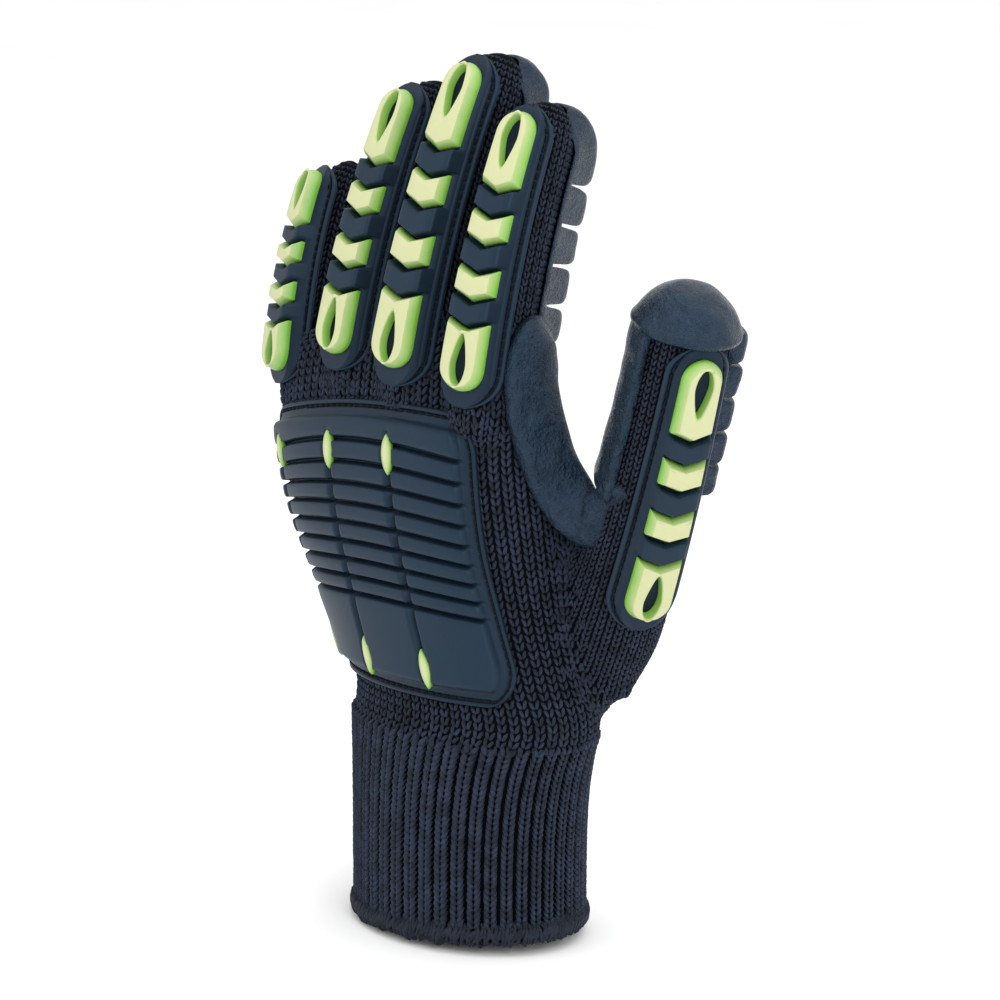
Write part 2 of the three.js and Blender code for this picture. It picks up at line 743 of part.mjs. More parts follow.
// A drop-shaped cutter whose point is towards the strip's middle.
function eyeCutter(strip, q, way) {
  const outline = circle(EYE_SIDES).map((p) => ({
    across: (EYE_WIDTH / 2) * p.x * (p.y > 0.1 ? 0.75 : 1),
    along: way * EYE_LENGTH * (p.y > 0 ? 0.6 * p.y : 0.4 * p.y),
  }));
  const rings = [FLOOR_HEIGHT - 3, BLOCK_HEIGHT + 3].map((height) =>
    outline.map(({ across, along }) => strip.digit.flat("back", q + along, across, height)),
  );
  return solidOf(skinGeometry(rings));
}

for (const strip of strips) {
  const { heel, heelTop, tipFoot, tipTop } = STRIP_MARKS;
  const name = strip.digit.name;
  const inset = 0.62 * EYE_LENGTH;
  const base = stripBase(strip);
  place(`strip_base_${name}`, "rubber", name === "thumb" ? base : base.subtract(bag));
  place(
    `lime_heel_${name}`,
    "lime",
    limeBlock(strip, heel, heelTop, true, false).subtract(
      eyeCutter(strip, strip.at(heel) + inset, 1),
    ),
  );
  for (const [k, mark] of CHEVRONS.entries())
    place(
      `lime_chevron_${k + 1}_${name}`,
      "lime",
      limeBlock(strip, mark.foot, mark.top, false, false),
    );
  place(
    `lime_tip_${name}`,
    "lime",
    limeBlock(strip, tipFoot, tipTop, false, true).subtract(
      eyeCutter(strip, strip.at(tipTop) - inset, -1),
    ),
  );
}

// Grooved plate on the back of the hand, with lens-shaped lime inserts in its long grooves.
// The plate's edges and long grooves, as lengths across the back of the hand at the
// plate's upper edge. The plate narrows a little to the wrist.
const PLATE_EDGES = { left: -0.53 * PLATE_WIDTH, right: 0.43 * PLATE_WIDTH };
const LONG_GROOVES = [-0.42, -0.13, 0.13].map((share) => share * PLATE_WIDTH);
const PLATE_TOP = GLOVE_TOP - 0.19 * HAND_LENGTH;
const PLATE_FOOT = PLATE_TOP - PLATE_LENGTH;
const LENS_PLACES = [PLATE_TOP - 0.17 * PLATE_LENGTH, PLATE_FOOT + 0.11 * PLATE_LENGTH];
const onPlate = (z, across, height) => {
  const narrow = THREE.MathUtils.lerp(0.92, 1, (z - PLATE_FOOT) / PLATE_LENGTH);
  return overHand(z, across * narrow, height, 0);
};

function plateRows() {
  const rows = [0, 0.03, 0.075, 0.13].map((share) => ({
    z: PLATE_FOOT + share * PLATE_LENGTH,
    dip: 0,
  }));
  const [first, last] = [PLATE_TOP - 0.705 * PLATE_LENGTH, PLATE_TOP - 0.165 * PLATE_LENGTH];
  for (let k = 0; k < CROSS_GROOVES; k++) {
    const share = k / (CROSS_GROOVES - 1);
    const z = first + (last - first) * share * (0.88 + 0.12 * share);
    rows.push(
      { z: z - GROOVE_WIDTH / 2, dip: 0 },
      { z, dip: GROOVE_DEPTH },
      { z: z + GROOVE_WIDTH / 2, dip: 0 },
    );
  }
  for (const share of [0.92, 0.965, 1])
    rows.push({ z: PLATE_FOOT + share * PLATE_LENGTH, dip: 0 });
  return rows;
}

function backPlate() {
  const rings = plateRows().map(({ z, dip }) => {
    const end = Math.min(z - PLATE_FOOT, PLATE_TOP - z);
    const turn = Math.max(0, 1 - end / PLATE_CORNER);
    const inset = PLATE_CORNER * (1 - Math.sqrt(Math.max(0, 1 - turn * turn)));
    const [left, right] = [PLATE_EDGES.left + inset, PLATE_EDGES.right - inset];
    const body = end < 0.06 * PLATE_LENGTH ? FLANGE_THICKNESS : PLATE_THICKNESS;
    const top = Math.max(FLANGE_THICKNESS, body - dip);
    const long = z > LENS_PLACES[1] && z < LENS_PLACES[0] ? GROOVE_DEPTH : 0;
    const clampIn = (x) => THREE.MathUtils.clamp(x, left + PLATE_FLANGE, right - PLATE_FLANGE);
    const points = [
      [left, GAP],
      [left, FLANGE_THICKNESS],
      [left + PLATE_FLANGE - 1.2, FLANGE_THICKNESS],
      [left + PLATE_FLANGE, top],
    ];
    for (const groove of LONG_GROOVES)
      points.push(
        [clampIn(groove - GROOVE_WIDTH / 2), top],
        [clampIn(groove), top - Math.min(long, top - FLANGE_THICKNESS)],
        [clampIn(groove + GROOVE_WIDTH / 2), top],
      );
    points.push(
      [right - PLATE_FLANGE, top],
      [right - PLATE_FLANGE + 1.2, FLANGE_THICKNESS],
      [right, FLANGE_THICKNESS],
      [right, GAP],
    );
    for (const share of [0.88, 0.6, 0.35, 0.14])
      points.push([THREE.MathUtils.lerp(left, right, share), GAP + PLATE_LIFT]);
    return points.map(([across, height]) => onPlate(z, across, height));
  });
  return solidOf(skinGeometry(rings));
}

// A lens-shaped prism over the plate, grown outwards by grow.
function lens(z, across, low, high, grow) {
  const rings = [low, high].map((height) =>
    circle(LENS_SIDES).map((p) => {
      const wide = (LENS_WIDTH / 2 + grow) * p.x * Math.abs(p.x) ** 0.4;
      return onPlate(z + p.y * (LENS_LENGTH / 2 + grow), across + wide, height);
    }),
  );
  return solidOf(skinGeometry(rings));
}

let plate = backPlate();
const inserts = [];
for (const z of LENS_PLACES)
  for (const across of LONG_GROOVES) {
    plate = plate.subtract(lens(z, across, PLATE_THICKNESS - 2.4, PLATE_THICKNESS + 4, GAP));
    inserts.push(lens(z, across, PLATE_THICKNESS - 2.4 + GAP, PLATE_THICKNESS + 0.5, 0));
  }
place("back_plate", "rubber", plate);
inserts.forEach((insert, k) => place(`lime_insert_${k + 1}`, "lime", insert));

// Coated foam on the palm side of the digits: a thin skirt and a row of thick blocks. The
// long block is the fingertip's. The thumb's blocks wrap it, and its coating caps the tip.
function fingerPads(digit) {
  const foot = digit === digits.index ? INDEX_PAD_FOOT : FINGER_PAD_FOOT;
  const top = digit.lines.palm.at(-1).q - FINGER_PAD_TAIL;
  const stations = padStations(digit, foot, top, TIP_BLOCK * digit.reach);
  const rings = stations.map(({ q, height }) => {
    const radius = digit.plainRadius(digit.placeAt("palm", q));
    const end = THREE.MathUtils.clamp(Math.min(q - foot + 9, top - q) / 12, 0, 1);
    const angle = SKIRT_ANGLE * (0.25 + 0.75 * Math.sqrt(1 - (1 - end) ** 2));
    const skirt = rad(angle) * radius;
    const block = Math.min(PAD_WIDTH / 2, skirt * 0.8);
    return ringAt(digit, "palm", q, [
      { across: -skirt, height: GAP + LIFT, wrap: true },
      { across: -skirt, height: COATING + GAP, wrap: true },
      { across: -block, height: COATING + GAP, wrap: true },
      { across: -0.9 * block, height: height - 0.5 },
      { across: 0.9 * block, height: height - 0.5 },
      { across: block, height: COATING + GAP, wrap: true },
      { across: skirt, height: COATING + GAP, wrap: true },
      { across: skirt, height: GAP + LIFT, wrap: true },
      ...underside(0.5 * angle, -0.5 * angle, GAP + PAD_LIFT),
    ]);
  });
  return solidOf(skinGeometry(rings));
}

// Places along a digit's palm line with the height of its pads: a row of blocks with
// grooves between them, and one long block at the tip.
function padStations(digit, foot, top, tipBlock) {
  const high = PAD_HEIGHT * Math.min(1, digit.width);
  const low = COATING + 1;
  const tipFoot = top - tipBlock;
  const count = Math.round((tipFoot - foot) / PAD_PITCH);
  const pitch = (tipFoot - foot) / count;
  const stations = [{ q: foot, height: low }];
  for (let k = 0; k < count; k++) {
    const a = foot + k * pitch;
    stations.push(
      { q: a + PAD_GROOVE / 2 + 0.8, height: high },
      { q: a + pitch - PAD_GROOVE / 2 - 0.8, height: high },
      { q: a + pitch, height: low },
    );
  }
  if (tipBlock > 0)
    stations.push(
      { q: tipFoot + PAD_GROOVE, height: high },
      { q: top - 9, height: 0.92 * high },
      { q: top - 2.5, height: 0.5 * high },
      { q: top, height: low },
    );
  return stations;
}

// The thumb's coating wraps it from the fork's side, where it is a smooth band, by way of
// its palm to its outer side, where the blocks stand. Turns are from the palm line.
function thumbCoating(digit) {
  const { band, bandEnd, outer } = THUMB_WRAP;
  const top = digit.lines.palm.at(-1).q - THUMB_PAD_TAIL;
  const rings = padStations(digit, THUMB_PAD_FOOT, top, 0).map(({ q, height }) => {
    const high = Math.max(COATING + 1, THUMB_PAD_SHARE * height);
    const flat = COATING + 1;
    const row = (turn, at) => ({ turn, height: at });
    return ringAt(digit, "palm", q, [
      row(band, GAP + LIFT),
      row(band, flat),
      row((band + bandEnd) / 2, flat),
      row(bandEnd, flat),
      row(bandEnd + 16, high),
      row(0.25 * outer, high),
      row(0.62 * outer, high),
      row(0.9 * outer, high),
      row(outer, flat),
      row(outer, GAP + LIFT),
      ...[0.74, 0.43, 0.12].map((share) => row(share * outer, GAP + 3 * LIFT)),
      ...[0.13, 0.34, 0.56, 0.78].map((share) => row(share * band, GAP + 3 * LIFT)),
    ]);
  });
  return solidOf(skinGeometry(rings));
}

// The coating's cap on the thumb's tip.
function tipCap(digit) {
  const from = digit.reach - CAP_REACH * TIP_ROUNDING;
  return digit
    .tube(DIGIT_SIDES, GAP + CAP_THICKNESS, from)
    .subtract(digit.tube(DIGIT_SIDES, GAP, from - OVERRUN));
}

// The coated roll that runs from the index finger round the fork and up the thumb. Its
// rows say where its middle lies on the hand, which way it faces, and how wide it is.
const CROTCH_PATH = [
  { across: 0.35, back: -0.05, rise: 1.04, face: 100, wide: 0.3 },
  { across: 0.375, back: -0.085, rise: 0.985, face: 85, wide: 0.85 },
  { across: 0.385, back: -0.1, rise: 0.88, face: 78, wide: 1 },
  { across: 0.4, back: -0.075, rise: 0.75, face: 75, wide: 1 },
  { across: 0.425, back: -0.03, rise: 0.635, face: 62, wide: 0.95 },
  { across: 0.505, back: -0.01, rise: 0.57, face: 52, wide: 0.9 },
  { across: 0.6, back: 0.01, rise: 0.614, face: 32, wide: 0.9 },
  { across: 0.645, back: -0.015, rise: 0.68, face: 22, wide: 0.75 },
];
function crotchPatch() {
  const rows = CROTCH_PATH.map(({ across, back, rise, face, wide }) => ({
    centre: new THREE.Vector3(
      across * HAND_WIDTH,
      back * HAND_LENGTH,
      CUFF_LENGTH + rise * HAND_LENGTH,
    ),
    normal: new THREE.Vector3(Math.sin(rad(face)), -Math.cos(rad(face)), 0),
    wide,
  }));
  const rings = rows.map(({ centre, normal, wide }, k) => {
    const before = rows[Math.max(0, k - 1)].centre;
    const after = rows[Math.min(rows.length - 1, k + 1)].centre;
    const along = after.clone().sub(before).normalize();
    const out = normal.clone().addScaledVector(along, -normal.dot(along)).normalize();
    const side = along.clone().cross(out);
    const half = (wide * CROTCH_PATCH_WIDTH) / 2;
    const high = CROTCH_PATCH_THICKNESS * Math.min(1, wide + 0.2);
    return [-100, 0, 36, 72, 108, 144, 180].map((angle) =>
      angle < 0
        ? centre.clone().addScaledVector(out, -high)
        : centre
            .clone()
            .addScaledVector(side, Math.cos(rad(angle)) * half)
            .addScaledVector(out, Math.sin(rad(angle)) * high),
    );
  });
  return solidOf(skinGeometry(rings.map((ring) => [...ring.slice(1), ring[0]])));
}

// The palm's coating with its foam blocks. The rows give its edges across the palm.
const PALM_ROWS = [
  { share: 0, left: -0.3, right: 0.02 },
  { share: 0.3, left: -0.4, right: 0.05 },
  { share: 0.55, left: -0.43, right: 0.14 },
  { share: 0.72, left: -0.42, right: 0.4 },
  { share: 1, left: -0.34, right: 0.41 },
];
const PALM_FOOT = CUFF_LENGTH + 0.1 * HAND_LENGTH;
const PALM_TOP = GLOVE_TOP - 0.17 * HAND_LENGTH;
function palmPads() {
  const pitch = (PALM_TOP - PALM_FOOT) / PALM_BLOCKS;
  const low = COATING + GAP;
  const rows = [{ z: PALM_FOOT, height: low }];
  for (let k = 0; k < PALM_BLOCKS; k++) {
    const z = PALM_FOOT + k * pitch;
    rows.push(
      { z: z + PAD_GROOVE, height: PALM_PAD_HEIGHT },
      { z: z + pitch - PAD_GROOVE, height: PALM_PAD_HEIGHT },
      { z: z + pitch, height: k + 1 < PALM_BLOCKS ? low + 1 : low },
    );
  }
  const rings = rows.map(({ z, height }) => {
    const share = (z - PALM_FOOT) / (PALM_TOP - PALM_FOOT);
    const left = tableValue(PALM_ROWS, "share", "left", share) * HAND_WIDTH;
    const right = tableValue(PALM_ROWS, "share", "right", share) * HAND_WIDTH;
    const middle = (left + right) / 2;
    const points = [
      [left, GAP],
      [left, low],
      [left + 4, low],
      [left + 6, height],
      [middle, height],
      [right - 6, height],
      [right - 4, low],
      [right, low],
      [right, GAP + LIFT],
      ...[0.8, 0.5, 0.2].map((k) => [THREE.MathUtils.lerp(left, right, k), GAP + PLATE_LIFT + LIFT]),
    ];
    return points.map(([across, up]) => overHand(z, across, up, Math.PI));
  });
  return solidOf(skinGeometry(rings));
}

const stallSkin = (digit) => digit.tube(DIGIT_SIDES, GAP, stallFoot(digit) - OVERRUN);
const palm = palmPads();
place("palm_pads", "coating", palm);
const seatedPads = (digit) => fingerPads(digit).subtract(stallSkin(digit)).subtract(bag);
for (const digit of fingers) place(`finger_pads_${digit.name}`, "coating", seatedPads(digit));
const thumbPads = thumbCoating(digits.thumb);
place("finger_pads_thumb", "coating", thumbPads);
place("thumb_cap", "coating", tipCap(digits.thumb));
place(
  "crotch_patch",
  "coating",
  crotchPatch()
    .subtract(bag)
    .subtract(stallSkin(digits.index))
    .subtract(stallSkin(digits.thumb))
    .subtract(thumbPads)
    .subtract(palm)
    .subtract(seatedPads(digits.index)),
);

export default glove;
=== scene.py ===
# %% [markdown]
# # An anti-vibration work glove
# The object is a heavy knitted work glove, filled as if a hand were in it. Its back carries
# moulded rubber strips and a grooved plate, and its palm side carries coated foam pads.
# The CAD model gives every size and place. This scene dresses it: yarn, moulded rubber,
# dipped coating, stitches. Lengths are worked out in millimetres and stored in metres.

import json
import math
import bmesh
import bpy
import numpy as np
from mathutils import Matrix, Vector, noise
from mathutils.bvhtree import BVHTree
from mathutils.kdtree import KDTree

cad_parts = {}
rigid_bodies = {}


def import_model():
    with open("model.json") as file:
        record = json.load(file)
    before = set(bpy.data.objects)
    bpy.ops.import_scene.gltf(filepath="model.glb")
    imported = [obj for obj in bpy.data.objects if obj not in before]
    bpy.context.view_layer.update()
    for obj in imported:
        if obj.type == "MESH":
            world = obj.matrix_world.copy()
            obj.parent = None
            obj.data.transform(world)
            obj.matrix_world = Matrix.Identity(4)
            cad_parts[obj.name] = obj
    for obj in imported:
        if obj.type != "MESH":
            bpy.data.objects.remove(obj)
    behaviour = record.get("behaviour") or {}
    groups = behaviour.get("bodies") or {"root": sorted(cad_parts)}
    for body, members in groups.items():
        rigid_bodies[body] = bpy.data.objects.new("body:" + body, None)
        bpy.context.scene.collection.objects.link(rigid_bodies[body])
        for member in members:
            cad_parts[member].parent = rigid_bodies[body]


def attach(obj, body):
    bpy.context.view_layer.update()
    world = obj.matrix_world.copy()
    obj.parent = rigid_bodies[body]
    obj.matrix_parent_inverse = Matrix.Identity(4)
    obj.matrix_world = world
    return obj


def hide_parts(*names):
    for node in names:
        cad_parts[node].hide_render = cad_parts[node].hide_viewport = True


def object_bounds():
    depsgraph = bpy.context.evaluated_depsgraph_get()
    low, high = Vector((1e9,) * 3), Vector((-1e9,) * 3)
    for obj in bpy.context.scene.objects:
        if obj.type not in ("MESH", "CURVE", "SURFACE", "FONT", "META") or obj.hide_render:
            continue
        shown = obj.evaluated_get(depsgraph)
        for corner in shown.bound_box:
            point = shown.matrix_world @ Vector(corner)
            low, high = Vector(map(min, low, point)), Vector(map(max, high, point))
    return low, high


NOISE_SEED = 5
noise.seed_set(NOISE_SEED)
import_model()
cad_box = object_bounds()
print("CAD box", cad_box)

# %% [markdown]
# ## Camera, floor and light
# A long lens from a little above keeps the glove's outline close to its true shape, as in a
# catalogue picture. The floor and the world are pale, and three broad soft lights stand in
# for a studio's soft boxes.

# %% Camera
AIM = Vector((0, 0, 0.130))
AZIMUTH, ELEVATION, DISTANCE = math.radians(47), math.radians(12), 1.2
SENSOR, LENS, SHIFT = 36, 152.6, (0.031, -0.028)


def linked(name, data):
    made = bpy.data.objects.new(name, data)
    bpy.context.scene.collection.objects.link(made)
    return made


def aimed(name, data, place):
    """An object at a place that looks at the glove."""
    made = linked(name, data)
    made.location = place
    made.rotation_euler = (AIM - Vector(place)).to_track_quat("-Z", "Y").to_euler()
    return made


level = math.cos(ELEVATION)
view_way = Vector((level * math.sin(AZIMUTH), -level * math.cos(AZIMUTH), math.sin(ELEVATION)))
camera = aimed("camera", bpy.data.cameras.new("camera"), AIM + view_way * DISTANCE)
camera.data.sensor_width = SENSOR
camera.data.lens = LENS
camera.data.shift_x, camera.data.shift_y = SHIFT
bpy.context.scene.camera = camera
print("camera looks from", tuple(round(v, 3) for v in view_way))

# %% Small helpers that make materials


def linear(code):
    """An sRGB hex colour as linear red, green, blue and alpha."""
    parts = [int(code[k : k + 2], 16) / 255 for k in (1, 3, 5)]
    return tuple(
        p / 12.92 if p <= 0.04045 else ((p + 0.055) / 1.055) ** 2.4 for p in parts
    ) + (1.0,)


def add(tree, kind, inputs=None, **settings):
    """Add a node, with its settings, and with values or links for its inputs."""
    made = tree.nodes.new(kind)
    for key, value in settings.items():
        setattr(made, key, value)
    for key, value in (inputs or {}).items():
        if isinstance(value, bpy.types.NodeSocket):
            tree.links.new(value, made.inputs[key])
        else:
            made.inputs[key].default_value = value
    return made


def new_material(name):
    material = bpy.data.materials.new(name)
    material.use_nodes = True
    material.node_tree.nodes.clear()
    return material, material.node_tree


def ramp(tree, factor, stops):
    """A colour ramp whose stops are pairs of a place and a hex colour."""
    made = add(tree, "ShaderNodeValToRGB", {"Fac": factor})
    elements = made.color_ramp.elements
    for element, (place, code) in zip(elements, stops):
        element.position = place
        element.color = linear(code)
    return made.outputs["Color"]


def object_place(tree):
    return add(tree, "ShaderNodeTexCoord").outputs["Object"]


def noise_of(tree, place, size, detail, **more):
    """Noise whose features have a size in metres."""
    inputs = {"Vector": place, "Scale": 1 / size, "Detail": detail} | more
    return add(tree, "ShaderNodeTexNoise", inputs).outputs["Fac"]


def bump_of(tree, height, distance, strength, **more):
    inputs = {"Height": height, "Distance": distance, "Strength": strength} | more
    return add(tree, "ShaderNodeBump", inputs).outputs["Normal"]


def finish_material(tree, inputs):
    shader = add(tree, "ShaderNodeBsdfPrincipled", inputs)
    add(tree, "ShaderNodeOutputMaterial", {"Surface": shader.outputs["BSDF"]})


# %% Floor, world and soft boxes
FLOOR_REACH, FLOOR_GAP = 30, 0.001
# name, place, size, power in watts
SOFT_BOXES = (
    ("right soft box", (1.3, -0.7, 0.9), (0.8, 1.0), 10),
    ("left soft box", (-0.9, -1.4, 0.6), (0.7, 1.0), 3),
    ("top soft box", (0.2, 0.1, 1.4), (1.0, 1.0), 6),
)


def studio():
    world = bpy.data.worlds.new("pale room")
    world.use_nodes = True
    tree = world.node_tree
    tree.nodes.clear()
    white = add(tree, "ShaderNodeBackground", {"Color": (1, 1, 1, 1), "Strength": 1.0})
    add(tree, "ShaderNodeOutputWorld", {"Surface": white.outputs["Background"]})
    bpy.context.scene.world = world
    bpy.context.scene.view_settings.view_transform = "Standard"

    mesh = bpy.data.meshes.new("floor")
    low = cad_box[0][2] - FLOOR_GAP
    square = ((-1, -1), (1, -1), (1, 1), (-1, 1))
    corners = [(x * FLOOR_REACH, y * FLOOR_REACH, low) for x, y in square]
    mesh.from_pydata(corners, [], [(0, 1, 2, 3)])
    floor = linked("floor", mesh)
    material, tree = new_material("matt white paper")
    grain = add(tree, "ShaderNodeTexNoise", {"Scale": 400.0}).outputs["Fac"]
    paper = ramp(tree, grain, [(0.3, "#fafafa"), (0.7, "#ffffff")])
    finish_material(tree, {"Base Color": paper, "Roughness": 0.9})
    mesh.materials.append(material)

    for name, place, size, power in SOFT_BOXES:
        light = bpy.data.lights.new(name, "AREA")
        light.shape = "RECTANGLE"
        light.size, light.size_y = size
        light.energy = power
        aimed(name, light, place)


studio()
print("world, floor and three soft boxes made")

# %% [markdown]
# ## The shape that the pieces follow
# Every piece of this glove lies on one of two surfaces: a digit, which is a bent tube that
# tapers to a round tip, or the hand, a bag of rounded sections. The CAD model has the same
# sizes. Here the two surfaces answer for thousands of points at once, with arrays.

# %% Sizes, in millimetres and degrees
KNIT_WALL = 2.2
CUFF_LENGTH, CUFF_WIDTH, CUFF_DEPTH, CUFF_FLARE = 57, 76, 57, 4
HEM_HEIGHT, HEM_SLOPE = 5, 0.04
HAND_LENGTH, HAND_WIDTH, HAND_DEPTH, KNUCKLE_DROP = 118, 98, 35, 12
FINGER_LENGTH, FINGER_WIDTH, FINGER_DEPTH, TIP_ROUNDING = 101, 22, 24, 14
ROOT_LENGTH = 17
GLOVE_TOP = CUFF_LENGTH + HAND_LENGTH

# rise, side, back, width, depth on the back, depth in the palm, squareness, knuckle arch
HAND_SECTIONS = np.array(
    [
        (0, 0.022, 0, 0.86, 1.57, 1.57, 2, 0),
        (0.06, 0.038, 0, 0.87, 1.49, 1.46, 2.05, 0),
        (0.17, 0.012, -0.008, 0.85, 1.4, 1.26, 2.1, 0.05),
        (0.33, -0.05, -0.02, 0.9, 1.34, 1.09, 2.2, 0.15),
        (0.52, -0.098, -0.042, 0.985, 1.31, 0.92, 2.3, 0.4),
        (0.7, -0.125, -0.055, 1.02, 1.24, 0.72, 2.4, 0.8),
        (0.85, -0.143, -0.06, 1.05, 1.04, 0.62, 2.6, 1),
        (0.95, -0.15, -0.085, 1.04, 0.68, 0.45, 2.8, 1),
        (1, -0.13, -0.1, 0.95, 0.46, 0.4, 3, 1),
    ]
)
# name, across, rise, back, length, width, taper, flare, lean, front, roll, curl
DIGITS = [
    ("index", 0.232, 0.792, -0.131, 0.901, 1, 0.86, 1, 4.7, 3.8, 11.6, 22.2),
    ("middle", -0.022, 0.813, -0.148, 1, 1, 0.86, 1, 5.7, 4.7, 5.2, 21.3),
    ("ring", -0.279, 0.813, -0.131, 0.9, 0.96, 0.84, 1, 3.7, 6.3, -1.7, 20),
    ("little", -0.54, 0.742, -0.1, 0.714, 0.88, 0.86, 1, -6.4, 7.1, -15, 20.4),
    ("thumb", 0.343, 0.168, 0.141, 1.221, 1.46, 0.78, 1.8, 30.7, -9.1, 68, 18),
]

# %% Small helpers for angles and curves


def unit(v):
    return v / np.linalg.norm(v, axis=-1, keepdims=True)


def turned(v, axis, angle):
    """v turned about a unit axis."""
    c, s = math.cos(angle), math.sin(angle)
    return v * c + np.cross(axis, v) * s + axis * np.dot(axis, v) * (1 - c)


def round_turns(count):
    """Angles of points that run once round."""
    return np.linspace(0, 2 * math.pi, count, endpoint=False)


def lengths(points):
    """How far along its line each point lies."""
    return np.concatenate(([0], np.cumsum(np.linalg.norm(np.diff(points, axis=0), axis=1))))


def quarter_round(x):
    """From 0 to 1 as a quarter of a circle rises, where x runs from 0 to 1."""
    return np.sqrt(1 - (1 - np.clip(x, 0, 1)) ** 2)


def smooth_step(x):
    x = np.clip(x, 0, 1)
    return x * x * (3 - 2 * x)


def signed_power(v, power):
    return np.sign(v) * np.abs(v) ** power


# %% A digit, as a bent tube
ARC_STEPS, LEAST_CLOSING, SLOPE_STEP = 241, 0.35, 0.3


class Digit:
    def __init__(self, row):
        self.name, across, rise, back, length, width, taper, flare, lean, front, roll, curl = row
        self.width, self.taper, self.flare = width, taper, flare
        self.reach = length * FINGER_LENGTH
        self.base = np.array(
            (across * HAND_WIDTH, back * HAND_LENGTH, CUFF_LENGTH + rise * HAND_LENGTH)
        )
        slant = math.tan(math.radians(lean)), math.tan(math.radians(front))
        self.start = unit(np.array((*slant, 1)))
        rear = unit(np.array((0, -1, 0)) + self.start * self.start[1])
        self.rear = turned(rear, self.start, math.radians(roll))
        self.side = np.cross(self.start, self.rear)
        self.bend = math.radians(curl) / self.reach
        self.lines = {"back": self.arcs(0), "palm": self.arcs(math.pi)}

    def centre(self, s):
        """Centre and back of the digit at s along its centre line."""
        s = np.asarray(s, float)[..., None]
        sine, cosine = np.sin(self.bend * s), np.cos(self.bend * s)
        middle = self.base + self.start * sine / self.bend - self.rear * (1 - cosine) / self.bend
        return middle, self.rear * cosine + self.start * sine

    def radius(self, s):
        share = np.clip(1 - np.asarray(s, float) / self.reach, 0, None) ** self.flare
        return FINGER_WIDTH / 2 * self.width * (self.taper + (1 - self.taper) * share)

    def closing(self, s, grow=0.0):
        s = np.asarray(s, float)
        past = np.clip((s - (self.reach - TIP_ROUNDING)) / (TIP_ROUNDING + grow), 0, 1)
        return np.where(s < 0, np.exp(np.minimum(s, 0) / ROOT_LENGTH), np.sqrt(1 - past * past))

    def point(self, s, turn, grow=0.0):
        """A point of the outside. turn is 0 on the digit's back."""
        s, turn = np.broadcast_arrays(np.asarray(s, float), np.asarray(turn, float))
        middle, rear = self.centre(s)
        half, close = self.radius(s), self.closing(s, grow)
        deep = half * FINGER_DEPTH / FINGER_WIDTH + grow
        return (
            middle
            + self.side * (np.sin(turn) * (half + grow) * close)[..., None]
            + rear * (np.cos(turn) * deep * close)[..., None]
        )

    def arcs(self, turn):
        s = np.linspace(0, self.reach, ARC_STEPS)
        return s, lengths(self.point(s, turn))

    def end(self, line):
        return self.lines[line][1][-1]

    def place(self, line, q):
        s, length = self.lines[line]
        return np.interp(q, length, s)

    def line_frame(self, line, q):
        """s, the point and the normal at q along the back or palm line."""
        s = self.place(line, q)
        turn, way = (0, 1) if line == "back" else (math.pi, -1)
        ahead = self.point(np.minimum(s + SLOPE_STEP, self.reach), turn)
        along = unit(ahead - self.point(s - SLOPE_STEP, turn))
        up = self.centre(s)[1] * way
        return s, self.point(s, turn), unit(up - along * np.sum(up * along, axis=-1, keepdims=True))

    def wrapped(self, line, q, across, height):
        """A point that wraps round the digit: across its line, at a height over it."""
        q, across, height = np.broadcast_arrays(q, across, height)
        s, point, normal = self.line_frame(line, q)
        radius = self.radius(s) * np.maximum(LEAST_CLOSING, self.closing(s))
        turn = across / radius
        out = radius + height
        return (
            point
            + self.side * (np.sin(turn) * out)[..., None]
            + normal * (np.cos(turn) * out - radius)[..., None]
        )

    def flat(self, line, q, across, height):
        """A point of a flat section over the digit's line."""
        q, across, height = np.broadcast_arrays(q, across, height)
        _, point, normal = self.line_frame(line, q)
        return point + self.side * across[..., None] + normal * height[..., None]


digits = {row[0]: Digit(row) for row in DIGITS}
print("digit reach, mm:", {name: round(d.reach, 1) for name, d in digits.items()})

# %% The hand, as a bag of rounded sections
ARCH_SQUARE, ARCH_LEAN = 0.55, 0.45
HALF_SPAN, SPAN_STEPS, TURN_STEP = 1.75, 281, 0.02


def table_value(column, x):
    """Smooth value of one column of the hand's sections at x."""
    rows, by = HAND_SECTIONS[:, column], HAND_SECTIONS[:, 0]
    last = len(by) - 1
    after = np.minimum(last, np.arange(last + 1) + 1)
    before = np.maximum(0, np.arange(last + 1) - 1)
    slopes = (rows[after] - rows[before]) / (by[after] - by[before])
    i = np.clip(np.searchsorted(by, x, side="left") - 1, 0, last - 1)
    span = by[i + 1] - by[i]
    t = np.clip((x - by[i]) / span, 0, 1)
    return (
        (2 * t**3 - 3 * t**2 + 1) * rows[i]
        + (t**3 - 2 * t**2 + t) * span * slopes[i]
        + (3 * t**2 - 2 * t**3) * rows[i + 1]
        + (t**3 - t**2) * span * slopes[i + 1]
    )


def hand_point(z, turn, grow=0.0):
    """A point of the hand's outside: turn is 0 on its back, half a turn in the palm."""
    z, turn = np.broadcast_arrays(np.asarray(z, float), np.asarray(turn, float))
    rise = np.clip((z - CUFF_LENGTH) / HAND_LENGTH, 0, 1)
    side, back, width, deep, palm, square, arch = (table_value(k, rise) for k in range(1, 8))
    x = signed_power(np.sin(turn), 2 / square)
    y = -signed_power(np.cos(turn), 2 / square)
    depth = np.where(y < 0, deep, palm) * HAND_DEPTH / 2
    return np.stack(
        (
            side * HAND_WIDTH + x * (width * HAND_WIDTH / 2 + grow),
            back * HAND_LENGTH + y * (depth + grow),
            z - arch * KNUCKLE_DROP * x * (ARCH_SQUARE * x - ARCH_LEAN),
        ),
        axis=-1,
    )


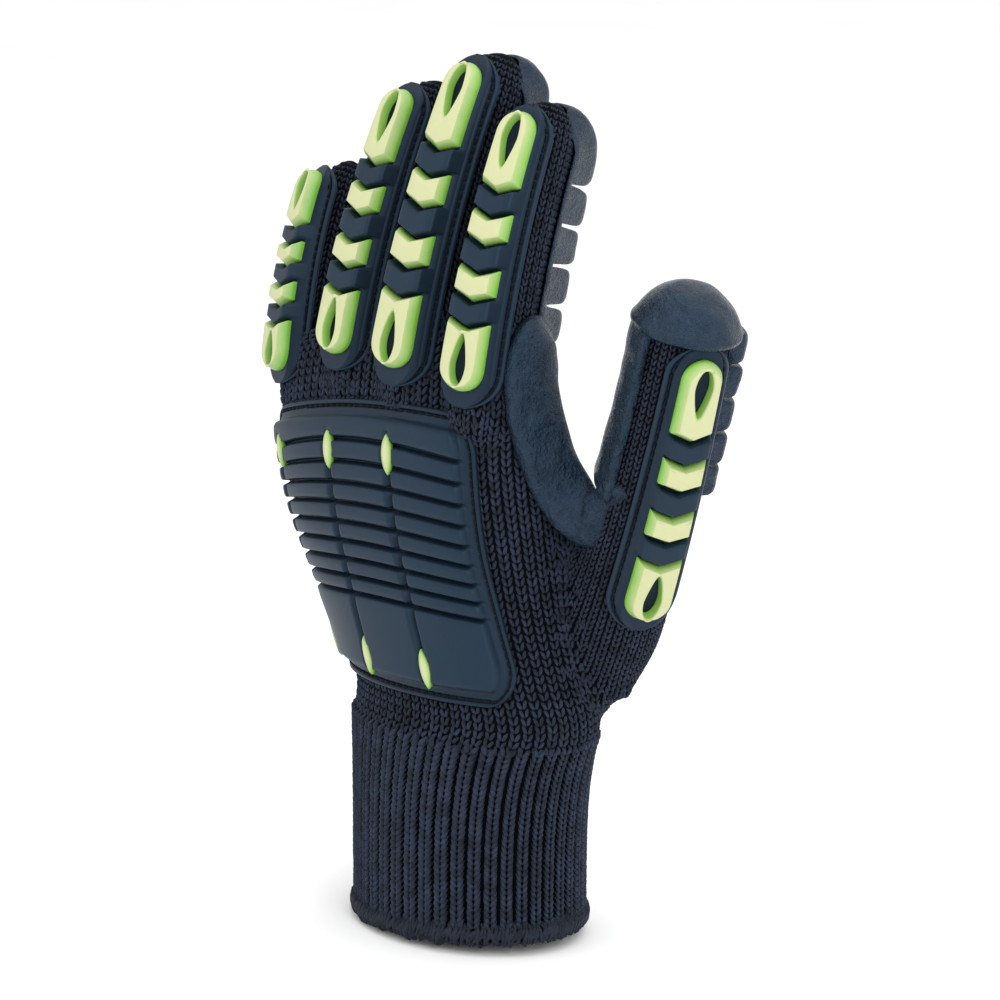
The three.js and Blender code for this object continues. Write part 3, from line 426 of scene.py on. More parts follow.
def over_hand(z, across, height, middle):
    """Points over the hand: z up it, across it from middle, at a height over it."""
    z, across, height = np.broadcast_arrays(z, across, height)
    out = np.empty(z.shape + (3,))
    turns = middle + (-1 if middle > 1 else 1) * np.linspace(-HALF_SPAN, HALF_SPAN, SPAN_STEPS)
    for index in np.ndindex(z.shape[:-1]):
        zs = z[index]
        length = lengths(hand_point(np.full_like(turns, zs.mean()), turns))
        turn = np.interp(across[index], length - length[SPAN_STEPS // 2], turns)
        around = hand_point(zs, turn + TURN_STEP) - hand_point(zs, turn - TURN_STEP)
        along = hand_point(zs + 1, turn) - hand_point(zs - 1, turn)
        out[index] = hand_point(zs, turn) + unit(np.cross(around, along)) * height[index][:, None]
    return out


print("knuckle height, mm:", round(float(hand_point(GLOVE_TOP, 0)[2]), 1))

# %% The strip's sizes
STRIP_WIDTH, FLANGE, BLOCK_WIDTH, BLOCK_HEIGHT, DARK_HEIGHT = 22, 1.3, 14, 5.2, 4.6
CHEVRON_DEPTH, EYE_WIDTH, EYE_LENGTH, GAP = 2.4, 4.4, 12, 0.35
HEEL, CHEVRONS, TIP = (0.05, 0.285), ((0.367, 0.459), (0.547, 0.64)), (0.72, 0.965)
STRIP_TAPER, LEAST_ROUND = 0.18, 0.2
STRIP_ENDS = {"finger": (5, 10.5), "thumb": (30, 17)}


class Strip:
    def __init__(self, digit):
        foot, tail = STRIP_ENDS["thumb" if digit.name == "thumb" else "finger"]
        self.digit, self.foot = digit, foot
        self.top = digit.end("back") - tail
        self.length = self.top - foot

    def at(self, share):
        return self.foot + share * self.length

    def half(self, q, full):
        share = (np.asarray(q) - self.foot) / self.length
        return full / 2 * (1 - STRIP_TAPER * share) * min(1, self.digit.width)

    def flange(self, q):
        """Half the strip's width, with its two ends rounded."""
        half = self.half(q, STRIP_WIDTH)
        way = np.minimum(q - self.foot, self.top - q) / half
        return np.maximum(LEAST_ROUND, quarter_round(way)) * half


# %% The plate's and the pads' sizes
PLATE_LENGTH, PLATE_WIDTH, PLATE_THICKNESS, PLATE_FLANGE = 82, 95, 4.2, 5
GROOVE_WIDTH, GROOVE_DEPTH, CROSS_GROOVES, GROOVE_ARCH = 1.3, 2.4, 9, 2.6
LENS_LENGTH, LENS_WIDTH, PLATE_CORNER, PLATE_NARROWING = 11, 3.6, 12, 0.08
PLATE_LEFT, PLATE_RIGHT = -0.53 * PLATE_WIDTH, 0.43 * PLATE_WIDTH
PLATE_MIDDLE = (PLATE_LEFT + PLATE_RIGHT) / 2
LONG_GROOVES = [k * PLATE_WIDTH for k in (-0.42, -0.13, 0.13)]
PLATE_TOP = GLOVE_TOP - 0.19 * HAND_LENGTH
PLATE_FOOT = PLATE_TOP - PLATE_LENGTH
LENS_PLACES = [PLATE_TOP - 0.17 * PLATE_LENGTH, PLATE_FOOT + 0.11 * PLATE_LENGTH]
COATING, PAD_HEIGHT, PAD_WIDTH, PAD_PITCH, PAD_GROOVE, PALM_PAD_HEIGHT = 1.2, 9.5, 20, 11, 2.2, 8
FINGER_PAD_FOOT, INDEX_PAD_FOOT, FINGER_PAD_TAIL = 28, 10, 4
TIP_BLOCK, SKIRT_ANGLE = 0.24, 76
THUMB_PAD_FOOT, THUMB_PAD_TAIL, THUMB_PAD_SHARE = 60, 17, 0.68
THUMB_BAND, THUMB_BAND_END, THUMB_OUTER = -110, -20, 100
CAP_THICKNESS, CAP_REACH = 3.2, 0.62
PALM_FOOT, PALM_TOP = CUFF_LENGTH + 0.1 * HAND_LENGTH, GLOVE_TOP - 0.17 * HAND_LENGTH
PALM_BLOCKS = 8
# share of the palm's length, left edge and right edge as shares of the hand's width
PALM_ROWS = np.array(
    [(0, -0.3, 0.02), (0.3, -0.4, 0.05), (0.55, -0.43, 0.14), (0.72, -0.42, 0.4), (1, -0.34, 0.41)]
)


def palm_edges(share):
    return [np.interp(share, PALM_ROWS[:, 0], PALM_ROWS[:, k]) * HAND_WIDTH for k in (1, 2)]


def plate_narrow(z):
    return 1 - PLATE_NARROWING * (1 - (z - PLATE_FOOT) / PLATE_LENGTH)


# %% Meshes from grids and loops of points


def piece_from(name, points, faces, *materials, parts=None):
    """A mesh object from millimetre points. parts gives each face its material slot."""
    mesh = bpy.data.meshes.new(name)
    mesh.from_pydata((np.asarray(points) / 1000).tolist(), [], [list(f) for f in faces])
    for material in materials:
        mesh.materials.append(material)
    if parts is not None:
        mesh.polygons.foreach_set("material_index", np.asarray(parts, np.int32))
    return smoothed(linked(name, mesh))


def smoothed(piece):
    piece.data.polygons.foreach_set("use_smooth", [True] * len(piece.data.polygons))
    piece.data.update()
    return piece


def grid_faces(rows, columns, closed=False, wrap=False, start=0):
    """Quads of a grid. closed joins its last column to the first, and wrap its last row."""
    faces = []
    for i in range(rows if wrap else rows - 1):
        low, high = start + i * columns, start + (i + 1) % rows * columns
        for j in range(columns if closed else columns - 1):
            k = (j + 1) % columns
            faces.append((low + j, low + k, high + k, high + j))
    return faces


def closed_loft(rings):
    """Points and faces of a closed body through equal rings of points."""
    rings = np.asarray(rings)
    rows, columns = rings.shape[:2]
    points = list(rings.reshape(-1, 3)) + [rings[0].mean(axis=0), rings[-1].mean(axis=0)]
    faces = grid_faces(rows, columns, closed=True)
    foot, top, last = rows * columns, rows * columns + 1, (rows - 1) * columns
    for j in range(columns):
        k = (j + 1) % columns
        faces += [(foot, k, j), (top, last + j, last + k)]
    return points, faces


def joined(bodies):
    """Several bodies' points and faces as one."""
    points, faces = [], []
    for more, links in bodies:
        faces += [tuple(k + len(points) for k in face) for face in links]
        points += list(more)
    return points, faces


def outward(piece):
    """Make a closed mesh's faces point outwards."""
    mesh = bmesh.new()
    mesh.from_mesh(piece.data)
    bmesh.ops.recalc_face_normals(mesh, faces=mesh.faces)
    mesh.to_mesh(piece.data)
    mesh.free()
    return piece


def sheet(name, outer, inner, material):
    """A closed sheet between two grids of points."""
    n, m = outer.shape[:2]
    points = np.concatenate((outer.reshape(-1, 3), inner.reshape(-1, 3)))
    faces = grid_faces(n, m) + [f[::-1] for f in grid_faces(n, m, start=n * m)]
    border = [*range(m)] + [i * m + m - 1 for i in range(1, n)]
    border += [(n - 1) * m + j for j in range(m - 2, -1, -1)]
    border += [i * m for i in range(n - 2, 0, -1)]
    for a, b in zip(border, border[1:] + border[:1]):
        faces.append((b, a, a + n * m, b + n * m))
    return outward(piece_from(name, points, faces, material))


def tube_ring(name, rings, material):
    """A body whose rings close on themselves and on one another."""
    rings = np.asarray(rings)
    faces = grid_faces(*rings.shape[:2], closed=True, wrap=True)
    return outward(piece_from(name, rings.reshape(-1, 3), faces, material))


def with_painted_light(piece, painted_tones):
    """Give each point its painted light and shade for the rubber's colour: 0, painted shade, in
    grooves, 1, painted light, on top faces.
    """
    made = piece.data.attributes.new("height", "FLOAT", "POINT")
    made.data.foreach_set("value", np.asarray(painted_tones, np.float32))
    return outward(piece)


def baked(piece):
    """Replace a piece's mesh by what its modifiers make of it, and remove them."""
    evaluated = piece.evaluated_get(bpy.context.evaluated_depsgraph_get())
    mesh = bpy.data.meshes.new_from_object(evaluated)
    piece.modifiers.clear()
    old = piece.data
    piece.data = mesh
    bpy.data.meshes.remove(old)
    mesh.name = piece.name
    return piece


def triangles(piece):
    return sum(len(p.vertices) - 2 for p in piece.data.polygons)


def settle(piece, slot, *nodes):
    """Hand a finished piece to the frame: attach it to the root body and hide the CAD parts it
    stands for. slot is not used.
    """
    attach(piece, "root")
    if nodes:
        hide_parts(*nodes)
    print(piece.name, triangles(piece), "triangles")

# %% [markdown]
# ## Yarn
# The shell is knitted from a thick dark yarn with a slightly hairy surface. The base colour
# wanders a little, as a mixed yarn's does, and a fine bump gives it fibres. Sheen stands in
# for the light that loose fibres catch at a grazing angle.

# %% Knitted yarn


def knitted_yarn(name, dark, light, hairy):
    material, tree = new_material(name)
    place = object_place(tree)
    # Fibres are about 0.1 mm. They are drawn at 0.25 mm so that they show.
    fibre = noise_of(tree, place, 0.0005, 3.0, Distortion=1.5)
    patch = noise_of(tree, place, 0.004, 4.0)
    mixed = add(tree, "ShaderNodeMath", {0: fibre, 1: patch}, operation="MULTIPLY").outputs[0]
    finish_material(
        tree,
        {
            "Base Color": ramp(tree, mixed, [(0.12, dark), (0.42, light)]),
            "Roughness": 0.8,
            "Specular IOR Level": 0.3 * hairy,
            "Sheen Weight": 0.04 * hairy,
            "Sheen Roughness": 0.45,
            "Sheen Tint": linear("#8fa3c4"),
            "Normal": bump_of(tree, fibre, 0.0003 * hairy, 0.7),
        },
    )
    return material


yarn = knitted_yarn("mixed acrylic yarn", "#080c15", "#27334a", 1.0)
cuff_yarn = knitted_yarn("rib knit yarn", "#0a0f1a", "#2b374d", 1.0)
hem_yarn = knitted_yarn("woolly overlock thread", "#080c15", "#1d2739", 1.1)
# Near-black yarn: painted shade that stands for the shadowed depth of the knit between the
# stitches.
painted_shade_yarn = knitted_yarn("yarn in the depth of the knit", "#010204", "#03050a", 0.2)
sewing_thread = knitted_yarn("bonded sewing thread", "#04070b", "#121a24", 0.5)
print("yarns:", [m.name for m in (yarn, cuff_yarn, hem_yarn, painted_shade_yarn, sewing_thread)])

# %% [markdown]
# ## Moulded rubber and dipped coating
# The strips and the plate are thermoplastic rubber, moulded with a satin skin: a middling
# roughness and a faint unevenness. Their colour has painted light and shade: top faces and
# raised rims are painted paler, grooves and recesses darker. The lime blocks are the same
# rubber in another colour, their crowns painted paler as painted light. The palm's
# coating is a foamed dip: its skin is grainy, so its gloss breaks into small points.

# %% Rubber


def moulded_rubber(name, low, high, roughness):
    """Satin rubber with painted light and shade. The attribute height gives 0, painted shade, in
    grooves and 1, painted light, on top faces.
    """
    material, tree = new_material(name)
    place = object_place(tree)
    # The attribute height holds painted light and shade, not a height.
    height = add(tree, "ShaderNodeAttribute", attribute_name="height").outputs["Fac"]
    cloud = noise_of(tree, place, 0.006, 3.0)
    skin = noise_of(tree, place, 0.0006, 2.0)
    mixed = {0: cloud, 1: 0.35, 2: height}
    shade = add(tree, "ShaderNodeMath", mixed, operation="MULTIPLY_ADD").outputs[0]
    finish_material(
        tree,
        {
            "Base Color": ramp(tree, shade, [(0.1, low), (1.1, high)]),
            "Roughness": roughness,
            "IOR": 1.5,
            "Specular Tint": linear("#9dbadd"),
            "Normal": bump_of(tree, skin, 0.00006, 0.5),
        },
    )
    return material


def dipped_coating():
    material, tree = new_material("foamed nitrile dip")
    place = object_place(tree)
    # The real grain is about 0.3 to 0.6 mm.
    grain = noise_of(tree, place, 0.0009, 3.0, Roughness=0.7)
    crumple = noise_of(tree, place, 0.004, 3.0, Distortion=0.6)
    slow = bump_of(tree, crumple, 0.0018, 0.6)
    span = {"Value": grain, "From Min": 0.3, "From Max": 0.7, "To Min": 0.4, "To Max": 0.14}
    gloss = add(tree, "ShaderNodeMapRange", span).outputs["Result"]
    finish_material(
        tree,
        {
            "Base Color": ramp(tree, crumple, [(0.3, "#0a121b"), (0.7, "#18242f")]),
            "Roughness": gloss,
            "IOR": 1.52,
            "Specular IOR Level": 0.7,
            "Specular Tint": linear("#8fb0d8"),
            "Normal": bump_of(tree, grain, 0.0007, 1.0, Normal=slow),
        },
    )
    return material


slate_rubber = moulded_rubber("slate thermoplastic rubber", "#050c13", "#15232f", 0.5)
lime_rubber = moulded_rubber("lime thermoplastic rubber", "#6cab2c", "#bfc192", 0.45)
coating = dipped_coating()
print("rubbers and coating:", slate_rubber.name, lime_rubber.name, coating.name)

# %% [markdown]
# ## Ground of the knit
# A knitted glove is one skin: the fingers grow out of the hand without a seam. So the hand,
# the web of the thumb and the five digits are lofted apart, melted together by a voxel
# remesh, and smoothed where they meet. The skin is opened at the wrist and given a wall.
# It is the dark ground that shows between the stitches: its near-black yarn is painted shade for
# the knit's shadowed depth.

# %% The knitted skin
SINK, ROOT_SINK, ROOT_FADE, UNDER_ROLL = 0.75, 3.0, 11, 6.6
VOXEL, EASE, EASE_STEPS = 0.0017, 0.5, 12
HAND_START, DIGIT_START, THUMB_START, CROWN_RISE = CUFF_LENGTH - 4, -4, -1.3 * ROOT_LENGTH, 3
# where the web starts in the hand, and where it ends in the thumb
WEB_START = np.array((0.24 * HAND_WIDTH, -0.03 * HAND_LENGTH, CUFF_LENGTH + 0.31 * HAND_LENGTH))
WEB_END, WEB_HIGH, WEB_WIDE = 0.2, 0.19 * HAND_LENGTH, 0.26 * HAND_DEPTH


def hand_rings(grow):
    z = np.linspace(HAND_START, GLOVE_TOP, 60)
    rings = hand_point(z[:, None], round_turns(96)[None, :], grow)
    middle = rings[-1].mean(axis=0)
    caps = [
        middle + (rings[-1] - middle) * k + np.array((0, 0, CROWN_RISE * (1 - k)))
        for k in (0.9, 0.7, 0.4)
    ]
    return np.concatenate((rings, caps))


def digit_rings(digit, grow, first):
    straight = digit.reach - TIP_ROUNDING
    closing = straight + (TIP_ROUNDING + grow) * np.sin(np.radians(np.linspace(6, 88, 14)))
    along = np.concatenate((np.linspace(first, straight, 40), closing))[:, None]
    if digit.name == "thumb":
        grow = grow - ROOT_SINK * np.exp(-((along / ROOT_FADE) ** 2))
    return digit.point(along, round_turns(48)[None, :], grow)


def web_rings(grow, shares=(0, 0.25, 0.5, 0.75, 1), count=24):
    """The knitted web that fills the fork between the thumb and the hand."""
    thumb = digits["thumb"]
    span = thumb.centre(WEB_END * thumb.reach)[0] - WEB_START
    way = unit(span)
    up = unit(np.array((0, 0, 1)) - way * way[2])
    turns = round_turns(count)
    # The web fills out under the coated roll, as far as the roll's underside.
    high, wide = WEB_HIGH + UNDER_ROLL + grow, WEB_WIDE + grow
    ring = up * (np.cos(turns) * high)[:, None]
    ring = ring + np.cross(up, way) * (np.sin(turns) * wide)[:, None]
    return np.array([WEB_START + span * k + ring for k in shares])


def knitted_skin():
    lofts = [hand_rings(-SINK), web_rings(-SINK)]
    for name, digit in digits.items():
        lofts.append(digit_rings(digit, -SINK, THUMB_START if name == "thumb" else DIGIT_START))
    points, faces = joined(closed_loft(rings) for rings in lofts)
    # The skin's near-black yarn is painted shade between the stitches.
    skin = outward(piece_from("knit_skin", points, faces, painted_shade_yarn))
    melt = skin.modifiers.new("melt", "REMESH")
    melt.mode = "VOXEL"
    melt.voxel_size = VOXEL
    melt.use_smooth_shade = True
    ease = skin.modifiers.new("ease", "SMOOTH")
    ease.factor = EASE
    ease.iterations = EASE_STEPS
    baked(skin)
    mesh = bmesh.new()
    mesh.from_mesh(skin.data)
    low = (CUFF_LENGTH - 0.5) / 1000
    bmesh.ops.delete(mesh, geom=[v for v in mesh.verts if v.co.z < low], context="VERTS")
    mesh.to_mesh(skin.data)
    mesh.free()
    return skin


skin = knitted_skin()
skin_tree = BVHTree.FromPolygons(
    [v.co * 1000 for v in skin.data.vertices], [list(p.vertices) for p in skin.data.polygons]
)
wall = skin.modifiers.new("wall", "SOLIDIFY")
wall.thickness = (KNIT_WALL - SINK) / 1000
wall.offset = -1
baked(skin)
settle(skin, "knit", "knit_hand", *[f"knit_stall_{name}" for name in digits])

# %% [markdown]
# ## Stitches
# Plain knitting shows columns of small V shapes. Each V is two short plump strands of yarn
# that lean apart. One V is modelled once, with a few dozen faces. Geometry Nodes put a copy
# on every place of the knit, turned to the surface, and make the copies real.

# %% One stitch
STITCH_LEG = ((0.07, -0.72, -0.14), (0.16, -0.3, 0.1), (0.25, 0.2, 0.12), (0.34, 0.62, -0.14))
LEG_RADII = (0.08, 0.16, 0.16, 0.08)


def strand(points, radii, sides=5):
    """A closed strand of yarn through a few points."""
    points = np.array(points, float)
    turns = round_turns(sides)
    rings = []
    for point, way, radius in zip(points, unit(np.gradient(points, axis=0)), radii):
        side = unit(np.cross(way, (0, 0, 1)))
        ring = point + side * (np.cos(turns) * radius)[:, None]
        rings.append(ring + np.cross(side, way) * (np.sin(turns) * radius)[:, None])
    return closed_loft(rings)


def pattern(name, bodies, material):
    """A small shape to copy. It isn't rendered itself."""
    shape = outward(piece_from(name, *joined(bodies), material))
    shape.hide_render = True
    return shape


def v_stitch(name, material):
    """A V that is 1 wide and 1 from course to course, its legs overlapping the next."""
    legs = [[(side * x, y, z) for x, y, z in STITCH_LEG] for side in (-1, 1)]
    return pattern(name, [strand(leg, LEG_RADII) for leg in legs], material)


# %% Copies on the knit
COPY_INPUTS = ("Width", "Course", "Thickness", "Unevenness")


def copies_tree(name, shape, material):
    """Geometry Nodes: put a shape on every point, turned by the attributes out and along."""
    tree = bpy.data.node_groups.new(name, "GeometryNodeTree")
    for label, side, kind in (
        ("Geometry", "INPUT", "Geometry"),
        *[(label, "INPUT", "Float") for label in COPY_INPUTS],
        ("Geometry", "OUTPUT", "Geometry"),
    ):
        tree.interface.new_socket(label, in_out=side, socket_type=f"NodeSocket{kind}")

    def out_of(kind, inputs, **settings):
        return add(tree, kind, inputs, **settings).outputs[0]

    def read(label, kind):
        return out_of("GeometryNodeInputNamedAttribute", {"Name": label}, data_type=kind)

    def scaled(vector, factor):
        return out_of("ShaderNodeVectorMath", {0: vector, "Scale": factor}, operation="SCALE")

    start = add(tree, "NodeGroupInput").outputs
    align = "FunctionNodeAlignRotationToVector"
    upright = out_of(align, {"Vector": read("out", "FLOAT_VECTOR")}, axis="Z")
    aim = {"Rotation": upright, "Vector": read("along", "FLOAT_VECTOR")}
    turn = out_of(align, aim, axis="Y", pivot_axis="Z")
    chance = {"Seed": 7, 2: -1.0, 3: 1.0}
    uneven = add(tree, "FunctionNodeRandomValue", chance, data_type="FLOAT").outputs[1]
    spread = {0: uneven, 1: start["Unevenness"], 2: 1.0}
    spread = out_of("ShaderNodeMath", spread, operation="MULTIPLY_ADD")
    size = {0: start["Width"], 1: start["Course"], 2: start["Thickness"]}
    size = scaled(scaled(out_of("ShaderNodeCombineXYZ", size), spread), read("size", "FLOAT"))
    copied = add(tree, "GeometryNodeObjectInfo", {"Object": shape}).outputs["Geometry"]
    points = out_of("GeometryNodeMeshToPoints", {"Mesh": start["Geometry"]})
    placed = {"Points": points, "Instance": copied, "Rotation": turn, "Scale": size}
    placed = out_of("GeometryNodeInstanceOnPoints", placed)
    real = out_of("GeometryNodeRealizeInstances", {"Geometry": placed})
    dyed = out_of("GeometryNodeSetMaterial", {"Geometry": real, "Material": material})
    add(tree, "NodeGroupOutput", {"Geometry": dyed})
    return tree


def copies(name, tree, seats, sizes, shape, unevenness):
    """A piece of copies. seats are places, ways out and ways along, and shape gives the
    width, course and thickness of one copy in millimetres."""
    places, out, along = seats
    holder = piece_from(name, places, [])
    for label, values, kind, key in (
        ("out", out, "FLOAT_VECTOR", "vector"),
        ("along", along, "FLOAT_VECTOR", "vector"),
        ("size", sizes, "FLOAT", "value"),
    ):
        attribute = holder.data.attributes.new(label, kind, "POINT")
        attribute.data.foreach_set(key, np.asarray(values, np.float32).ravel())
    maker = holder.modifiers.new("copies", "NODES")
    maker.node_group = tree
    values = dict(zip(COPY_INPUTS, (*shape, unevenness)))
    for item in tree.interface.items_tree:
        if item.in_out == "INPUT" and item.name in values:
            maker[item.identifier] = float(values[item.name])
    settle(smoothed(baked(holder)), "knit")


stitch = v_stitch("one_stitch", yarn)
stitch_tree = copies_tree("knit stitches", stitch, yarn)
print("one stitch has", triangles(stitch), "triangles")

# %% Stitches of the hand and the digits
HAND_COLUMNS, HAND_COURSE, DIGIT_COURSE = 60, 2.3, 2.0
HAND_STITCH, DIGIT_STITCH = (3.9, HAND_COURSE, 2.8), (2.9, DIGIT_COURSE, 2.1)
CLEAR, UNEVEN = 0.62, 0.06
taken = []


def on_skin(points, along, reach):
    """Drop stitches that lie inside the glove, and seat the others on the skin."""
    kept = []
    for k, (point, way) in enumerate(zip(points, along)):
        hit, normal, _, distance = skin_tree.find_nearest(Vector(point))
        if hit is not None and distance <= reach:
            normal = np.array(normal)
            kept.append((np.array(hit), normal, unit(way - normal * np.dot(way, normal)), k))
    return [np.array(column) for column in zip(*kept)]


def stitched(name, points, along, sizes, shape, reach):
    """Seat a run of stitches on the skin, except where another run's stitches lie."""
    seats = on_skin(points, along, reach)
    if taken:
        other = KDTree(len(taken))
        for k, place in enumerate(taken):
            other.insert(place, k)
        other.balance()
        free = np.array([other.find(place)[2] > CLEAR * shape[1] for place in seats[0]])
        seats = [column[free] for column in seats]
    taken.extend(seats[0])
    copies(name, stitch_tree, seats[:3], sizes[seats[3]], shape, UNEVEN)


def covered_on_hand(z, along, whole, half):
    """Whether the plate or the palm's pads cover a place, along the section from the back."""
    across = np.where(along > whole / 2, along - whole, along) / plate_narrow(z)
    plate = (across > PLATE_LEFT + 2) & (across < PLATE_RIGHT - 2)
    plate &= PLATE_FOOT + 3 < z < PLATE_TOP - 3
    corner = min(z - PLATE_FOOT, PLATE_TOP - z) < PLATE_CORNER
    beside = (across < PLATE_LEFT + PLATE_CORNER) | (across > PLATE_RIGHT - PLATE_CORNER)
    share = (z - PALM_FOOT) / (PALM_TOP - PALM_FOOT)
    left, right = palm_edges(share)
    across = half - along
    palm = (across > left + 2) & (across < right - 2) & (0.03 < share < 0.97)
    return (plate & ~(corner & beside)) | palm


def hand_stitches():
    turns = np.linspace(0, 2 * math.pi, 721)
    rows = []
    for height in np.arange(CUFF_LENGTH + 1, GLOVE_TOP + 3, HAND_COURSE):
        length = lengths(hand_point(np.full_like(turns, min(height, GLOVE_TOP)), turns))
        want = (np.arange(HAND_COLUMNS) + 0.5) / HAND_COLUMNS * length[-1]
        turn = np.interp(want, length, turns)
        ahead = unit(hand_point(height + 1, turn) - hand_point(height - 1, turn))
        half = np.interp(math.pi, turns, length)
        bare = ~covered_on_hand(height, want, length[-1], half)
        sizes = np.full(HAND_COLUMNS, length[-1] / HAND_COLUMNS / HAND_STITCH[0])
        rows.append((hand_point(height, turn)[bare], ahead[bare], sizes[bare]))
    return [np.concatenate(column) for column in zip(*rows)]


def pad_foot(digit):
    return INDEX_PAD_FOOT if digit.name == "index" else FINGER_PAD_FOOT


def covered_on_digit(digit, s, turn):
    """Whether a strip, a pad or the thumb's coating covers a place of a digit."""
    strip = Strip(digit)
    q = np.interp(s, *digit.lines["back"])
    turn = (turn + math.pi) % (2 * math.pi) - math.pi
    beside = np.abs(turn) * digit.radius(s) < strip.half(q, STRIP_WIDTH) - 2
    hidden = (q > strip.foot + 3) & (q < strip.top - 3) & beside
    q = np.interp(s, *digit.lines["palm"])
    end = digit.end("palm")
    turn = np.degrees((math.pi - turn + math.pi) % (2 * math.pi) - math.pi)
    if digit.name == "thumb":
        wrap = (turn > THUMB_BAND + 10) & (turn < THUMB_OUTER - 10)
        hidden |= wrap & (q > THUMB_PAD_FOOT + 2) & (q < end - THUMB_PAD_TAIL - 1)
        return hidden | (s > digit.reach - CAP_REACH * TIP_ROUNDING + 1.5)
    skirt = np.abs(turn) < SKIRT_ANGLE - 14
    return hidden | (skirt & (q > pad_foot(digit) + 5) & (q < end - FINGER_PAD_TAIL - 3))


def digit_stitches(digit, columns, first):
    turns = (np.arange(columns) + 0.5) / columns * 2 * math.pi
    s, turn = np.meshgrid(np.arange(first, digit.reach - 1, DIGIT_COURSE), turns, indexing="ij")
    ahead = digit.point(np.minimum(s + 0.5, digit.reach), turn) - digit.point(s - 0.5, turn)
    sizes = digit.radius(s) * np.maximum(0.5, digit.closing(s)) * 2 * math.pi / columns
    bare = ~covered_on_digit(digit, s, turn)
    return digit.point(s, turn)[bare], unit(ahead[bare] + 1e-9), sizes[bare] / DIGIT_STITCH[0]


stitched("knit_stitches_hand", *hand_stitches(), HAND_STITCH, 4.6)
for name, digit in digits.items():
    columns, first, reach = (32, -20, 5.0) if name == "thumb" else (24, -8, 1.8)
    run = digit_stitches(digit, columns, first)
    stitched(f"knit_stitches_{name}", *run, DIGIT_STITCH, reach)

points = web_rings(0.0, np.linspace(-0.1, 1.1, 12), 64)
along = unit(np.roll(points, -1, axis=1) - np.roll(points, 1, axis=1)).reshape(-1, 3)
sizes = np.full(len(along), 0.95)
stitched("knit_stitches_web", points.reshape(-1, 3), along, sizes, DIGIT_STITCH, 4.0)

# %% [markdown]
# ## Ribbed cuff
# The cuff is a rib knit: tall columns of V shapes, with a deep valley between each two. The
# ground is a tube with shallow flutes, and the stitches stand on its crests. Its near-black
# yarn is painted shade in the valleys.

# %% The cuff's tube
RIB_COUNT, RIB_RELIEF, RIB_COURSE, RIB_STITCH, RIB_SPAN = 44, 0.7, 1.75, (4.1, 2.1, 3.6), 4.3
TUBE_FOOT, TUBE_RINGS, RIB_DEPTH = HEM_HEIGHT - 2, 16, -0.55


def cuff_point(z, angle, grow):
    """A point of the cuff. The angle runs from the palm side by way of the thumb's side."""
    share = (z / CUFF_LENGTH) ** CUFF_FLARE
    side, width, depth = (table_value(k, np.array(0.0)) for k in (1, 3, 4))
    half_width = CUFF_WIDTH / 2 * (1 - share) + width * HAND_WIDTH / 2 * share + grow
    half_depth = CUFF_DEPTH / 2 * (1 - share) + depth * HAND_DEPTH / 2 * share + grow
    x, y = np.sin(angle) * half_width, np.cos(angle) * half_depth
    drop = HEM_SLOPE * x * (1 - z / CUFF_LENGTH)
    return np.stack(np.broadcast_arrays(side * HAND_WIDTH * share + x, y, z + drop), axis=-1)


def around_cuff(z, angle):
    return cuff_point(z, angle + 0.01, 0) - cuff_point(z, angle - 0.01, 0)


def out_of_cuff(around, here):
    out = unit(np.cross(around, (0, 0, 1)))
    return out * np.sign(np.sum(out * here * (1, 1, 0), axis=-1, keepdims=True))


def cuff_tube():
    angles = round_turns(RIB_COUNT * 8)
    flute = 0.5 * RIB_RELIEF * (np.cos(RIB_COUNT * angles) - 1)
    z = np.linspace(TUBE_FOOT, CUFF_LENGTH, TUBE_RINGS)
    outer = [cuff_point(k, angles, flute - SINK) for k in z]
    inner = [cuff_point(k, angles, -KNIT_WALL - flute * 0.5) for k in z[::-1]]
    # Near-black yarn: painted shade in the valleys between the ribs.
    return tube_ring("cuff_ground", outer + inner, painted_shade_yarn)


def cuff_stitches():
    z = np.arange(HEM_HEIGHT + 0.5, CUFF_LENGTH + 1.5, RIB_COURSE)
    z, angle = np.meshgrid(z, round_turns(RIB_COUNT), indexing="ij")
    here, around = cuff_point(z, angle, RIB_DEPTH), around_cuff(z, angle)
    along = unit(cuff_point(z + 1, angle, 0) - cuff_point(z - 1, angle, 0))
    sizes = np.linalg.norm(around, axis=-1) / 0.02 * 2 * math.pi / RIB_COUNT / RIB_SPAN
    seats = [a.reshape(-1, 3) for a in (here, out_of_cuff(around, here), along)]
    return seats, sizes.ravel()


settle(cuff_tube(), "knit", "ribbed_cuff")
rib_tree = copies_tree("rib stitches", v_stitch("one_rib_stitch", cuff_yarn), cuff_yarn)
copies("cuff_stitches", rib_tree, *cuff_stitches(), RIB_STITCH, 0.05)

# %% [markdown]
# ## Overlocked hem
# The cuff's edge is bound by a fluffy thread that loops round and round it. A soft roll
# carries several hundred short loops, side by side and not quite even. The roll is near
# black, painted shade under the loops.

# %% The hem
LOOPS, LOOP_SHAPE, ROLL_HIGH, ROLL_WIDE, ROLL_IN = 210, (2.8, 5.2, 3.6), 2.3, 1.55, -0.7


def hem_roll():
    angles, turns = round_turns(160)[:, None], round_turns(14)[None, :]
    z = HEM_HEIGHT / 2 + ROLL_HIGH * np.sin(turns)
    rings = cuff_point(z, angles, ROLL_IN + ROLL_WIDE * np.cos(turns))
    # Near-black yarn: painted shade under the hem's loops.
    return tube_ring("hem_roll", rings, painted_shade_yarn)


